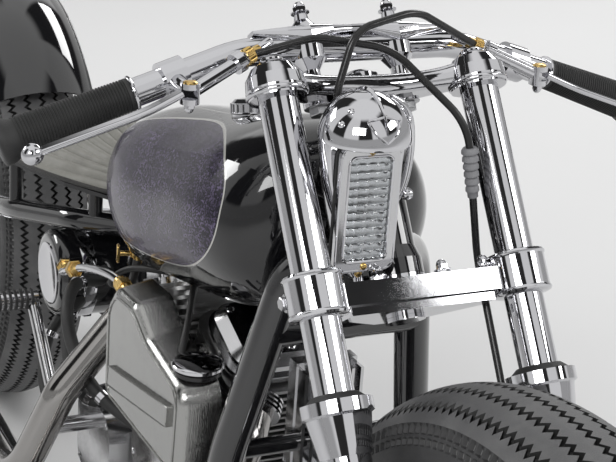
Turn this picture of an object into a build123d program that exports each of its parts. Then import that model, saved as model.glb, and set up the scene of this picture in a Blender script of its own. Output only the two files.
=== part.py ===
from build123d import *
import os
from math import atan2, cos, degrees, hypot, radians, sin, tan

# Rigid-frame chopper motorcycle with a V-twin engine.
# It is laid out upright in millimetres: X forward, Y to the rider's left, Z up, with the ground at Z 0 and
# X 0 midway between the axles. At the end it is leaned on its side stand and its foot is set on the ground.

# Stance
WHEELBASE = 1600.0
RAKE = 34.0
LEAN = 6.5

# Wheels and tyres, the same size front and rear
TYRE_RADIUS = 334.0
TYRE_WIDTH = 128.0
TREAD_CROWN = 75.0
# degrees that the tyre's seam is turned, so that its mesh stands on a flat and not on an edge
TYRE_SEAM = 180.0 / 126
RIM_RADIUS = 214.0
RIM_WIDTH = 92.0
RIM_DEPTH = 20.0
RIM_FLANGE = 6.0
BEAD_GAP = 0.3
SPOKE_RADIUS = 2.0
SPOKES_PER_SIDE = 18
HUB_RADIUS = 24.0
HUB_FLANGE_RADIUS = 44.0
HUB_FLANGE_WIDTH = 7.0
HUB_FLANGE_OFFSET = 36.0
HUB_HALF_WIDTH = 52.0
AXLE_RADIUS = 9.0
RUNNING_FIT = 0.06
DRUM_RADIUS = 82.0
DRUM_DEPTH = 26.0
PLATE_DEPTH = 9.0
MOVING_GAP = 1.0
REAR_HUB_REACH = 86.0

# Fork, measured up the tubes from the front axle
TUBE_RADIUS = 17.5
TUBE_SPACING = 200.0
STEM_OFFSET = 38.0
STEM_RADIUS = 14.0
LEG_RADIUS = 21.0
LEG_TOP = 335.0
LEG_CUP_DEPTH = 46.0
LEG_CUP_RADIUS = 28.0
LEG_RING_RADIUS = 31.0
LEG_RING_DEPTH = 11.0
LEG_LUG_RADIUS = 26.0
LEG_LUG_WIDTH = 44.0
SEAL_DEPTH = 8.0
SEAL_STANDS = 6.0
SEAL_RADIUS = 26.0
LOWER_YOKE_BOTTOM = 410.0
LOWER_YOKE_TOP = 439.0
UPPER_YOKE_BOTTOM = 598.0
UPPER_CUP_HEIGHT = 34.0
CLAMP_RADIUS = 25.5
BEARING_RADIUS = 24.5
BEARING_DEPTH = 7.0
NECK_GAP = 0.4
NECK_RADIUS = 21.0
SLIP = 0.05

# Handlebar and controls
BAR_RADIUS = 12.7
BAR_LEVEL = 656.0
BAR_STRAIGHT = 108.0
BAR_BEND_Y = 205.0
BAR_BEND_DROP = 30.0
BAR_END_Y = 320.0
BAR_END_DROP = 70.0
BAR_BEND_RADIUS = 120.0
RISER_SPACING = 89.0
RISER_RADIUS = 8.0
RISER_BOSS_RADIUS = 13.0
GRIP_RADIUS = 18.0
GRIP_INNER_RADIUS = 14.8
GRIP_FLANGE_RADIUS = 20.5
GRIP_LENGTH = 122.0
LEVER_AHEAD = 46.0
PERCH_FROM_BEND = 34.0
CABLE_RADIUS = 3.4

# Headlamp, set to the right of the centre line, its face looking straight ahead
LAMP_X = 536.0
LAMP_Y = -47.0
LAMP_TOP = 850.0
LAMP_TIP = 683.0
LAMP_HALF_WIDTH = 39.0
LAMP_DEPTH = 46.0

# Frame tubes
FRAME_TUBE = 17.5
STAY_TUBE = 14.0
RAIL_Y = 125.0
RAIL_Z = 130.0
SEAT_POST_X = -110.0
AXLE_PLATE_Y = 112.0
AXLE_PLATE_THICK = 8.0

SEAT_POST_TOP = 522.0
SEAT_POST_FOOT_X = -150.0
RAIL_JOINT_X = -130.0

# Tank
TANK_FRONT = 416.0
TANK_REAR = -78.0
TANK_TOP = 776.0
TANK_FLOOR = 600.0
TANK_HALF_WIDTH = 122.0

# Engine
CRANK_X = 190.0
CRANK_Z = 285.0
VEE_HALF_ANGLE = 22.5
CASE_RADIUS = 118.0
CASE_HALF_WIDTH = 62.0
BARREL_START = 122.0
BARREL_LENGTH = 84.0
BARREL_RADIUS = 44.0
FIN_COUNT = 9
FIN_THICK = 3.2
FIN_WIDTH = 132.0
FIN_LENGTH = 124.0
HEAD_LENGTH = 42.0
ROCKER_HEIGHT = 28.0

# Driveline
CHAIN_Y = 80.0
CHAIN_WIDTH = 9.0
DRIVE_SPROCKET_RADIUS = 38.0
WHEEL_SPROCKET_RADIUS = 92.0
GEARBOX_X = -12.0
GEARBOX_Z = 262.0
PRIMARY_INNER = 92.0
PRIMARY_OUTER = 128.0

FRONT_AXLE = (WHEELBASE / 2, 0.0, TYRE_RADIUS)
REAR_AXLE = (-WHEELBASE / 2, 0.0, TYRE_RADIUS)
UP_FORK = Vector(-sin(radians(RAKE)), 0, cos(radians(RAKE)))
FORK_AHEAD = Vector(cos(radians(RAKE)), 0, sin(radians(RAKE)))
HALF_SPACING = TUBE_SPACING / 2
BOTH_SIDES = (-1, 1)

made = []


def keep(piece, label):
    """Label a finished piece and put it on the list that is leaned and written at the end."""
    piece.label = label
    made.append(piece)


def fork_point(up, ahead=0.0, side=0.0):
    """A point given up the fork from the axle, ahead of the tubes and to the left."""
    return Vector(*FRONT_AXLE) + UP_FORK * up + FORK_AHEAD * ahead + Vector(0, side, 0)


def across_fork(up, ahead=0.0, side=0.0):
    """A plane square to the fork tubes, its X ahead and its Y to the left."""
    return Plane(origin=fork_point(up, ahead, side), x_dir=FORK_AHEAD, z_dir=UP_FORK)


def along_fork(side=0.0, up=0.0, ahead=0.0):
    """A plane square to the axle, its X ahead and its Y up the fork."""
    return Plane(origin=fork_point(up, ahead, side), x_dir=FORK_AHEAD, z_dir=(0, -1, 0))


def rod(start, end, radius, bore=0.0):
    """A straight round bar or tube from one point to another."""
    run = Vector(*end) - Vector(*start)
    with BuildPart() as piece:
        with BuildSketch(Plane(origin=start, z_dir=run)):
            Circle(radius)
            if bore > 0:
                Circle(bore, mode=Mode.SUBTRACT)
        extrude(amount=run.length)
    return piece.part


def bent_tube(points, radii, radius):
    """A round tube along straight runs joined by tangent arcs."""
    with BuildPart() as piece:
        with BuildLine() as path:
            FilletPolyline(*points, radius=radii)
        start = path.wires()[0]
        with BuildSketch(Plane(origin=start @ 0, z_dir=start % 0)):
            Circle(radius)
        sweep(path=path.wires()[0])
    return piece.part


def turned(outline, plane):
    """A solid turned about the plane's own Y axis from (radius, height) points."""
    with BuildPart() as piece:
        with BuildSketch(plane):
            with BuildLine():
                Polyline(*outline, close=True)
            make_face()
        revolve(axis=Axis(plane.origin, plane.y_dir))
    return piece.part


def plate(outline, plane, thickness, corner=0.0):
    """A flat plate cut to an outline on a plane, with rounded corners."""
    with BuildPart() as piece:
        with BuildSketch(plane) as cut:
            with BuildLine():
                Polyline(*outline, close=True)
            make_face()
            if corner > 0:
                fillet(cut.vertices(), corner)
        extrude(amount=thickness)
    return piece.part


def trimmed(piece, cutters):
    """The largest solid that is left of a piece once the cutters are taken away."""
    with BuildPart() as cut:
        add(piece)
        for cutter in cutters:
            add(cutter, mode=Mode.SUBTRACT)
    return cut.part.solids().sort_by(SortBy.VOLUME)[-1]


def mirrored(piece):
    """The same piece on the other side of the motorcycle."""
    return mirror(piece, about=Plane.XZ)


# Tyres: a crowned tread that runs into round side walls and stops at the beads
def tyre(axle, label):
    half = TYRE_WIDTH / 2
    shoulder = half - 8
    edge = TYRE_RADIUS - TREAD_CROWN + (TREAD_CROWN**2 - shoulder**2) ** 0.5
    bead = RIM_RADIUS + BEAD_GAP
    bead_half = RIM_WIDTH / 2 - 6 - BEAD_GAP
    over_flange = RIM_RADIUS + RIM_FLANGE + BEAD_GAP
    seam = radians(TYRE_SEAM)
    with BuildPart() as piece:
        with BuildSketch(Plane(origin=axle, x_dir=(0, 1, 0), z_dir=(cos(seam), 0, sin(seam)))):
            with BuildLine():
                ThreePointArc((-shoulder, edge), (0, TYRE_RADIUS), (shoulder, edge))
                ThreePointArc((shoulder, edge), (half, TYRE_RADIUS - 60), (bead_half, over_flange))
                Polyline(
                    (bead_half, over_flange), (bead_half, bead), (-bead_half, bead), (-bead_half, over_flange)
                )
                ThreePointArc((-bead_half, over_flange), (-half, TYRE_RADIUS - 60), (-shoulder, edge))
            make_face()
        revolve(axis=Axis(axle, (0, 1, 0)))
    keep(piece.part, label)


tyre(FRONT_AXLE, "front_tyre")
tyre(REAR_AXLE, "rear_tyre")


# Wire wheels: a channel rim, laced spokes and a flanged hub with its brake drum, turned as one wheel
def wheel(axle, drum_side, far, label):
    half = RIM_WIDTH / 2
    inner = RIM_RADIUS - RIM_DEPTH
    hub_plane = Plane(origin=axle, x_dir=(1, 0, 0), z_dir=(0, -1, 0))
    with BuildPart() as piece:
        with BuildSketch(Plane(origin=axle, x_dir=(0, 1, 0), z_dir=(1, 0, 0))):
            with BuildLine():
                Polyline(
                    (-half, RIM_RADIUS + RIM_FLANGE), (-half + 5, RIM_RADIUS + RIM_FLANGE),
                    (-half + 6, RIM_RADIUS), (half - 6, RIM_RADIUS),
                    (half - 5, RIM_RADIUS + RIM_FLANGE), (half, RIM_RADIUS + RIM_FLANGE),
                    (half - 2, RIM_RADIUS - 7), (half - 22, inner), (-half + 22, inner),
                    (-half + 2, RIM_RADIUS - 7), close=True,
                )
            make_face()
        revolve(axis=Axis(axle, (0, 1, 0)))
        with BuildSketch(hub_plane.offset(-drum_side * HUB_HALF_WIDTH if drum_side > 0 else -far)):
            Circle(HUB_RADIUS)
        extrude(amount=HUB_HALF_WIDTH + far)
        for side in BOTH_SIDES:
            offset_y = side * HUB_FLANGE_OFFSET
            with BuildSketch(hub_plane.offset(-offset_y - HUB_FLANGE_WIDTH / 2)):
                Circle(HUB_FLANGE_RADIUS)
            extrude(amount=HUB_FLANGE_WIDTH)
        with BuildSketch(hub_plane.offset(-drum_side * (HUB_HALF_WIDTH - DRUM_DEPTH / 2) - DRUM_DEPTH / 2)):
            Circle(DRUM_RADIUS)
        extrude(amount=DRUM_DEPTH)
        for side in BOTH_SIDES:
            for count in range(SPOKES_PER_SIDE):
                turn = 360.0 / SPOKES_PER_SIDE * (count + 0.25 * side)
                lace = 34.0 if count % 2 else -34.0
                reach = DRUM_RADIUS - 5 if side == drum_side else HUB_FLANGE_RADIUS - 4
                lace = lace * (HUB_FLANGE_RADIUS / reach)
                start = Vector(
                    axle[0] + reach * cos(radians(turn + lace)),
                    side * HUB_FLANGE_OFFSET,
                    axle[2] + reach * sin(radians(turn + lace)),
                )
                end = Vector(
                    axle[0] + (inner + 4) * cos(radians(turn)),
                    side * 12.0,
                    axle[2] + (inner + 4) * sin(radians(turn)),
                )
                add(rod(start, end, SPOKE_RADIUS))
        with BuildSketch(hub_plane):
            Circle(AXLE_RADIUS + RUNNING_FIT)
        extrude(amount=far + 1, both=True, mode=Mode.SUBTRACT)
    keep(piece.part, label)
    return piece.part


wheel(FRONT_AXLE, 1, HUB_HALF_WIDTH, "front_wheel")
rear_wheel = wheel(REAR_AXLE, -1, REAR_HUB_REACH, "rear_wheel")


# Brake plates: each closes its drum and is held off the turning hub
def brake_plate(axle, side, outer, label):
    inner = HUB_HALF_WIDTH + MOVING_GAP
    plane = Plane(origin=axle, x_dir=(-side, 0, 0), z_dir=(0, side, 0))
    with BuildPart() as piece:
        with BuildSketch(plane.offset(inner)):
            Circle(DRUM_RADIUS)
        extrude(amount=PLATE_DEPTH)
        fillet(piece.faces().sort_by(Axis.Y)[-1 if side > 0 else 0].edges(), 3.0)
        with BuildSketch(plane.offset(inner + PLATE_DEPTH)):
            Circle(AXLE_RADIUS + 8)
        extrude(amount=outer - inner - PLATE_DEPTH)
        with BuildSketch(plane.offset(inner + PLATE_DEPTH)):
            with Locations((30, 42)):
                Circle(9)
        extrude(amount=9)
        with BuildSketch(plane.offset(inner + PLATE_DEPTH + 3)):
            with Locations((56, 42)):
                SlotOverall(64, 12)
        extrude(amount=4)
        with BuildSketch(plane.offset(inner - 1)):
            Circle(AXLE_RADIUS)
        extrude(amount=outer, mode=Mode.SUBTRACT)
    keep(piece.part, label)


LEG_INNER = HALF_SPACING - LEG_LUG_WIDTH / 2
brake_plate(FRONT_AXLE, 1, LEG_INNER, "front_brake_plate")
brake_plate(REAR_AXLE, -1, AXLE_PLATE_Y - AXLE_PLATE_THICK / 2, "rear_brake_plate")


# Axles: a plain bar with a spacer on the side that has no brake and a nut at each end
def axle_bar(axle, reach, spacer_side, near, spacer_end, label):
    nut = 10.0
    plane = Plane(origin=axle, x_dir=(1, 0, 0), z_dir=(0, 1, 0))
    with BuildPart() as piece:
        with BuildSketch(plane):
            Circle(AXLE_RADIUS)
        extrude(amount=reach + nut, both=True)
        for side in BOTH_SIDES:
            with BuildSketch(plane.offset(reach if side > 0 else -reach - nut)):
                RegularPolygon(AXLE_RADIUS + 6, 6)
            extrude(amount=nut)
        with BuildSketch(plane.offset(near if spacer_side > 0 else -spacer_end)):
            Circle(AXLE_RADIUS + 5)
        extrude(amount=spacer_end - near)
    keep(piece.part, label)


leg_outer = HALF_SPACING + LEG_LUG_WIDTH / 2
axle_bar(FRONT_AXLE, leg_outer, -1, HUB_HALF_WIDTH + MOVING_GAP, LEG_INNER, "front_axle")
plate_inner = AXLE_PLATE_Y - AXLE_PLATE_THICK / 2
plate_outer = AXLE_PLATE_Y + AXLE_PLATE_THICK / 2
axle_bar(REAR_AXLE, plate_outer, 1, REAR_HUB_REACH + MOVING_GAP, plate_inner, "rear_axle")

# Fork tubes
with BuildPart() as fork_tubes:
    for side in BOTH_SIDES:
        with BuildSketch(across_fork(LEG_TOP - 200, 0, side * HALF_SPACING)):
            Circle(TUBE_RADIUS)
        extrude(amount=UPPER_YOKE_BOTTOM + 22 - LEG_TOP + 200)
keep(fork_tubes.part, "fork_tubes")

# Fork legs: a slim leg, a flared dust cup with a rolled ring on top, and a lug that clamps the axle
leg_bore = TUBE_RADIUS + SLIP
leg_outline = [
    (0, -LEG_LUG_RADIUS), (LEG_RADIUS, -LEG_LUG_RADIUS), (LEG_RADIUS, LEG_TOP - LEG_CUP_DEPTH),
    (LEG_RADIUS + 1.5, LEG_TOP - LEG_CUP_DEPTH), (LEG_CUP_RADIUS, LEG_TOP - LEG_RING_DEPTH - 2),
    (LEG_RING_RADIUS, LEG_TOP - LEG_RING_DEPTH), (LEG_RING_RADIUS, LEG_TOP), (SEAL_RADIUS, LEG_TOP),
    (SEAL_RADIUS, LEG_TOP - SEAL_DEPTH), (leg_bore, LEG_TOP - SEAL_DEPTH), (leg_bore, LEG_TOP - 205),
    (0, LEG_TOP - 205),
]
with BuildPart() as fork_legs:
    for side in BOTH_SIDES:
        add(turned(leg_outline, along_fork(side * HALF_SPACING)))
        with BuildSketch(along_fork(side * HALF_SPACING + LEG_LUG_WIDTH / 2)):
            Circle(LEG_LUG_RADIUS)
        extrude(amount=LEG_LUG_WIDTH)
    with BuildSketch(along_fork()):
        Circle(AXLE_RADIUS)
    extrude(amount=HALF_SPACING + LEG_LUG_WIDTH, both=True, mode=Mode.SUBTRACT)
keep(fork_legs.part, "fork_legs")

# Rubber dust seals in the legs' rings
seal_outline = [
    (leg_bore, LEG_TOP - SEAL_DEPTH + SLIP), (SEAL_RADIUS - SLIP, LEG_TOP - SEAL_DEPTH + SLIP),
    (SEAL_RADIUS - SLIP, LEG_TOP + 1), (leg_bore + 2.5, LEG_TOP + SEAL_STANDS),
    (leg_bore, LEG_TOP + SEAL_STANDS),
]
with BuildPart() as dust_seals:
    for side in BOTH_SIDES:
        add(turned(seal_outline, along_fork(side * HALF_SPACING)))
keep(dust_seals.part, "dust_seals")

# Lower yoke: a split ring round each tube, a stepped bar between them and a boss for the stem
yoke_plan = [
    (8, -84), (8, 84), (-14, 88), (-30, 56), (-STEM_OFFSET - 28, 26),
    (-STEM_OFFSET - 28, -26), (-30, -56), (-14, -88),
]
step_plan = [(2, -70), (2, 70), (-20, 70), (-STEM_OFFSET - 22, 20), (-STEM_OFFSET - 22, -20), (-20, -70)]
STUD_SIDES = (-35.0, 28.0, 70.0)
with BuildPart() as lower_yoke:
    with BuildSketch(across_fork(LOWER_YOKE_BOTTOM + 2)) as bar_plan:
        with BuildLine():
            Polyline(*yoke_plan, close=True)
        make_face()
        fillet(bar_plan.vertices(), 4)
    extrude(amount=20)
    with BuildSketch(across_fork(LOWER_YOKE_BOTTOM - 6)):
        with BuildLine():
            Polyline(*step_plan, close=True)
        make_face()
    extrude(amount=8)
    for side in BOTH_SIDES:
        with BuildSketch(across_fork(LOWER_YOKE_BOTTOM, 0, side * HALF_SPACING)):
            Circle(CLAMP_RADIUS)
        extrude(amount=LOWER_YOKE_TOP - LOWER_YOKE_BOTTOM)
    for side in STUD_SIDES:
        with BuildSketch(across_fork(LOWER_YOKE_BOTTOM + 22, -6, side)):
            RegularPolygon(7, 6)
        extrude(amount=5)
        with BuildSketch(across_fork(LOWER_YOKE_BOTTOM + 27, -6, side)):
            Circle(4)
        extrude(amount=3)
    for side in BOTH_SIDES:
        with BuildSketch(across_fork(LOWER_YOKE_BOTTOM - 10, 0, side * HALF_SPACING)):
            Circle(TUBE_RADIUS + SLIP)
        extrude(amount=60, mode=Mode.SUBTRACT)
    with BuildSketch(across_fork(LOWER_YOKE_BOTTOM - 10, -STEM_OFFSET)):
        Circle(STEM_RADIUS + SLIP)
    extrude(amount=60, mode=Mode.SUBTRACT)
keep(lower_yoke.part, "lower_yoke")

# Steering stem with its two bearing rings and an acorn nut on top
NECK_BOTTOM = LOWER_YOKE_TOP - 7 + BEARING_DEPTH + NECK_GAP
NECK_TOP = UPPER_YOKE_BOTTOM - BEARING_DEPTH - NECK_GAP
stem_outline = [
    (0, LOWER_YOKE_BOTTOM - 10), (STEM_RADIUS + 4, LOWER_YOKE_BOTTOM - 10),
    (STEM_RADIUS + 4, LOWER_YOKE_BOTTOM - 6.1),
    (STEM_RADIUS, LOWER_YOKE_BOTTOM - 6.1), (STEM_RADIUS, LOWER_YOKE_BOTTOM + 22.05),
    (BEARING_RADIUS, LOWER_YOKE_BOTTOM + 22.05), (BEARING_RADIUS, NECK_BOTTOM - NECK_GAP),
    (STEM_RADIUS, NECK_BOTTOM - NECK_GAP), (STEM_RADIUS, NECK_TOP + NECK_GAP),
    (BEARING_RADIUS, NECK_TOP + NECK_GAP), (BEARING_RADIUS, UPPER_YOKE_BOTTOM - 0.5),
    (STEM_RADIUS, UPPER_YOKE_BOTTOM - 0.5), (STEM_RADIUS, UPPER_YOKE_BOTTOM + 22.05),
    (STEM_RADIUS + 5, UPPER_YOKE_BOTTOM + 22.05), (STEM_RADIUS + 5, UPPER_YOKE_BOTTOM + 28),
    (STEM_RADIUS - 4, UPPER_YOKE_BOTTOM + 33), (0, UPPER_YOKE_BOTTOM + 34),
]
keep(turned(stem_outline, along_fork(0, 0, -STEM_OFFSET)), "steering_stem")

# Upper yoke: domed cups over the tubes, joined by a waisted arm that droops towards the middle
cup_outline = [
    (0, UPPER_YOKE_BOTTOM), (CLAMP_RADIUS, UPPER_YOKE_BOTTOM), (CLAMP_RADIUS + 1.5, UPPER_YOKE_BOTTOM + 8),
    (CLAMP_RADIUS, UPPER_YOKE_BOTTOM + 19), (CLAMP_RADIUS - 6, UPPER_YOKE_BOTTOM + 28),
    (CLAMP_RADIUS - 14, UPPER_YOKE_BOTTOM + 33), (0, UPPER_YOKE_BOTTOM + UPPER_CUP_HEIGHT),
]
# side, ahead, up from the yoke's underside, depth, height
ARM_SECTIONS = [
    (-88, -4, 15, 36, 24), (-45, -21, 12, 44, 18), (0, -24, 10, 52, 19), (45, -21, 12, 44, 18), (88, -4, 15, 36, 24),
]
with BuildPart() as upper_yoke:
    for side, ahead, up, depth, height in ARM_SECTIONS:
        with BuildSketch(along_fork(side, UPPER_YOKE_BOTTOM + up, ahead)):
            RectangleRounded(depth, height, height * 0.45)
    loft()
    for side in BOTH_SIDES:
        add(turned(cup_outline, along_fork(side * HALF_SPACING)))
        with BuildSketch(across_fork(UPPER_YOKE_BOTTOM + 2, -STEM_OFFSET, side * RISER_SPACING / 2)):
            Circle(RISER_BOSS_RADIUS)
        extrude(amount=19)
    with BuildSketch(across_fork(UPPER_YOKE_BOTTOM, -STEM_OFFSET)):
        Circle(STEM_RADIUS + 11)
    extrude(amount=22)
    for side in BOTH_SIDES:
        with BuildSketch(across_fork(UPPER_YOKE_BOTTOM - 1, 0, side * HALF_SPACING)):
            Circle(TUBE_RADIUS + SLIP)
        extrude(amount=23.1, mode=Mode.SUBTRACT)
    with BuildSketch(across_fork(UPPER_YOKE_BOTTOM - 5, -STEM_OFFSET)):
        Circle(STEM_RADIUS + SLIP)
    extrude(amount=27, mode=Mode.SUBTRACT)
keep(upper_yoke.part, "upper_yoke")

# Handlebar, nearly straight with a gentle droop to the grips
BAR_CENTRE = fork_point(BAR_LEVEL, -STEM_OFFSET - 2)
bar_points = [
    BAR_CENTRE + Vector(-3, -BAR_END_Y, -BAR_END_DROP),
    BAR_CENTRE + Vector(4, -BAR_BEND_Y, -BAR_BEND_DROP),
    BAR_CENTRE + Vector(0, -BAR_STRAIGHT, 0),
    BAR_CENTRE + Vector(0, BAR_STRAIGHT, 0),
    BAR_CENTRE + Vector(4, BAR_BEND_Y, -BAR_BEND_DROP),
    BAR_CENTRE + Vector(-3, BAR_END_Y, -BAR_END_DROP),
]
handlebar = bent_tube(bar_points, BAR_BEND_RADIUS, BAR_RADIUS)
keep(handlebar, "handlebar")
bar_way = Vector(*(bar_points[0] - bar_points[1])).normalized()
bar_tool = rod(
    BAR_CENTRE + Vector(0, -BAR_STRAIGHT, 0), BAR_CENTRE + Vector(0, BAR_STRAIGHT, 0), BAR_RADIUS + SLIP
)

# Risers: slim posts from the upper yoke that flare into saddles under the bar
riser_outline = [
    (0, UPPER_YOKE_BOTTOM + 21.05), (RISER_RADIUS, UPPER_YOKE_BOTTOM + 21.05), (RISER_RADIUS, BAR_LEVEL - 22),
    (RISER_RADIUS + 7, BAR_LEVEL - 12), (RISER_RADIUS + 7, BAR_LEVEL), (0, BAR_LEVEL),
]
with BuildPart() as risers:
    for side in BOTH_SIDES:
        add(turned(riser_outline, along_fork(side * RISER_SPACING / 2, 0, -STEM_OFFSET)))
    add(bar_tool, mode=Mode.SUBTRACT)
    add(upper_yoke.part, mode=Mode.SUBTRACT)
keep(risers.part, "risers")

# Winged top clamp: two cones with acorn heads, a bridge over the bar and wings that taper along it
# side, up from the bar's centre, depth, height
WING_SECTIONS = [
    (-97, 14.5, 14, 4), (-66, 12, 26, 12), (-RISER_SPACING / 2, 10, 32, 20), (-20, 15, 22, 9), (0, 16, 18, 7),
]
cone_outline = [(0, 10), (16, 10), (13, 19), (7, 26), (6, 32), (3, 35), (0, 35)]
with BuildPart() as bar_clamp:
    for side, up, depth, height in WING_SECTIONS:
        with BuildSketch(along_fork(side, BAR_LEVEL + up, -STEM_OFFSET)):
            RectangleRounded(depth, height, height * 0.4)
    loft(ruled=True)
    mirror(about=Plane.XZ)
    for side in BOTH_SIDES:
        add(turned(cone_outline, along_fork(side * RISER_SPACING / 2, BAR_LEVEL, -STEM_OFFSET)))
    split(bisect_by=across_fork(BAR_LEVEL + 0.3), keep=Keep.TOP)
    add(bar_tool, mode=Mode.SUBTRACT)
keep(bar_clamp.part, "bar_clamp")

# Grips: ribbed rubber with a flange at the open end, closed over the bar's end
grip_start = GRIP_LENGTH - 6.0
grip_outline = [
    (0, 6), (0, 0), (GRIP_FLANGE_RADIUS - 3, 0), (GRIP_FLANGE_RADIUS, 3), (GRIP_FLANGE_RADIUS, 9),
    (GRIP_RADIUS, 18), (GRIP_INNER_RADIUS, GRIP_LENGTH - 4), (GRIP_INNER_RADIUS - 1, GRIP_LENGTH),
    (BAR_RADIUS + SLIP, GRIP_LENGTH), (BAR_RADIUS + SLIP, 6),
]
grip_origin = bar_points[0] + bar_way * 6
grip_side = bar_way.cross(Vector(0, 0, 1))
grip_plane = Plane(origin=grip_origin, x_dir=grip_side, z_dir=grip_side.cross(bar_way * -1))
with BuildPart() as grips:
    add(turned(grip_outline, grip_plane))
    mirror(about=Plane.XZ)
keep(grips.part, "grips")

# Control perches: a ring on the bar, an arm to the lever's pivot and the barrel that takes the cable
perch_way = (bar_points[2] - bar_points[1]).normalized() * -1
perch_centre = bar_points[1] - perch_way * PERCH_FROM_BEND
pivot = perch_centre + Vector(LEVER_AHEAD, -2, -1)
barrel_end = perch_centre + Vector(LEVER_AHEAD - 16, 56, 24)
with BuildPart() as control_perches:
    add(rod(perch_centre - perch_way * 11, perch_centre + perch_way * 11, BAR_RADIUS + 4.5))
    add(rod(perch_centre, pivot, 8.0))
    add(rod(pivot - Vector(0, 0, 9), pivot + Vector(0, 0, 9), 8.5))
    add(rod(pivot, barrel_end, 6.0))
    add(rod(barrel_end - (barrel_end - pivot) * 0.22, barrel_end - (barrel_end - pivot) * 0.1, 9.5))
    with BuildSketch(Plane(origin=pivot, z_dir=(0, 0, 1)).offset(-4.2)):
        with Locations((0, -14)):
            Rectangle(22, 36)
    extrude(amount=8.4, mode=Mode.SUBTRACT)
    add(rod(perch_centre - perch_way * 18, perch_centre + perch_way * 18, BAR_RADIUS + SLIP), mode=Mode.SUBTRACT)
    mirror(about=Plane.XZ)
keep(control_perches.part, "control_perches")

# Levers: a round-edged blade in the perch's slot, running out along the grip to a ball
lever_tip = grip_origin - bar_way * 24 + Vector(LEVER_AHEAD, -6, -3)
lever_bend = pivot + (lever_tip - pivot) * 0.3 + Vector(5, 0, 0)
with BuildPart() as levers:
    with BuildLine() as blade_path:
        FilletPolyline(pivot + Vector(0, -8, 0), lever_bend, lever_tip, radius=150)
    blade_wire = blade_path.wires()[0]
    with BuildSketch(Plane(origin=blade_wire @ 0, x_dir=(0, 0, 1), z_dir=blade_wire % 0)):
        RectangleRounded(5.6, 12, 2.7)
    sweep(path=blade_wire)
    with Locations(lever_tip):
        Sphere(9.5)
    mirror(about=Plane.XZ)
keep(levers.part, "levers")


# Headlamp: a teardrop shell that narrows to a tip, with a domed brow over the glass
LAMP_MIDDLE = 0.5 * (LAMP_TOP + LAMP_TIP)
# depth behind the face, size of the section, how far its middle is raised
LAMP_SECTIONS = [(0, 0.93, 0), (12, 1.0, 0), (LAMP_DEPTH, 0.5, 28)]
with BuildPart() as headlamp_body:
    for depth, scale, lift in LAMP_SECTIONS:
        half = LAMP_HALF_WIDTH * scale
        top = (LAMP_TOP - LAMP_MIDDLE) * scale
        tip = (LAMP_TIP - LAMP_MIDDLE) * scale
        section_middle = (LAMP_X - depth, LAMP_Y, LAMP_MIDDLE + lift)
        with BuildSketch(Plane(origin=section_middle, x_dir=(0, 1, 0), z_dir=(1, 0, 0))):
            with BuildLine():
                ThreePointArc((-half, top - half), (0, top), (half, top - half))
                Polyline(
                    (half, top - half), (half * 0.86, tip * 0.62), (half * 0.12, tip), (-half * 0.12, tip),
                    (-half * 0.86, tip * 0.62), (-half, top - half),
                )
            make_face()
    loft(ruled=True)
    with Locations((LAMP_X - 8, LAMP_Y, LAMP_TOP - LAMP_HALF_WIDTH)):
        Sphere(LAMP_HALF_WIDTH + 1.5)
    face_middle = (LAMP_X + 0.3, LAMP_Y, LAMP_TOP - 96)
    with BuildSketch(Plane(origin=face_middle, z_dir=(1, 0, 0), x_dir=(0, 1, 0))):
        RectangleRounded(LAMP_HALF_WIDTH * 2 + 8, 116, 8)
    extrude(amount=60, mode=Mode.SUBTRACT)
keep(headlamp_body.part, "headlamp_body")

LENS_WIDTH = 40.0
LENS_HEIGHT = 92.0
BEZEL_WIDTH = 58.0
BEZEL_HEIGHT = 112.0
lens_plane = Plane(origin=(LAMP_X + 0.3, LAMP_Y, LAMP_TOP - 98), x_dir=(0, 1, 0), z_dir=(1, 0, 0))
with BuildPart() as headlamp_bezel:
    with BuildSketch(lens_plane):
        RectangleRounded(BEZEL_WIDTH, BEZEL_HEIGHT, 10)
        RectangleRounded(LENS_WIDTH, LENS_HEIGHT, 6, mode=Mode.SUBTRACT)
    extrude(amount=8)
keep(headlamp_bezel.part, "headlamp_bezel")
with BuildPart() as headlamp_lens:
    with BuildSketch(lens_plane):
        RectangleRounded(LENS_WIDTH - 0.2, LENS_HEIGHT - 0.2, 5.9)
    extrude(amount=10)
keep(headlamp_lens.part, "headlamp_lens")

# Lamp bracket: a bar from the lower yoke's top to the back of the lamp
bracket_foot = fork_point(LOWER_YOKE_BOTTOM + 20, -30, LAMP_Y + 4)
bracket_top = Vector(LAMP_X - LAMP_DEPTH + 6, LAMP_Y, LAMP_TIP + 86)
bracket_rod = rod(bracket_foot, bracket_top, 4.5)
keep(trimmed(bracket_rod, (headlamp_body.part, lower_yoke.part)), "lamp_bracket")

# Front brake cable: from the right barrel over the upper yoke and down behind the left tube to the brake arm
barrel_way = (barrel_end - pivot).normalized()
brake_cable_points = [
    barrel_end + barrel_way * 2.5,
    fork_point(UPPER_YOKE_BOTTOM + 50, 14, -60),
    fork_point(UPPER_YOKE_BOTTOM + 32, 26, 5),
    fork_point(UPPER_YOKE_BOTTOM - 42, 30, 62),
    fork_point(LOWER_YOKE_TOP + 10, -34, 82),
    fork_point(LOWER_YOKE_BOTTOM - 60, -40, 84),
    fork_point(170, -40, 80),
    Vector(FRONT_AXLE[0] - 78, HUB_HALF_WIDTH + 15, FRONT_AXLE[2] + 52),
]
keep(bent_tube(brake_cable_points, [50, 60, 60, 60, 90, 60], CABLE_RADIUS), "brake_cable")

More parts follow.
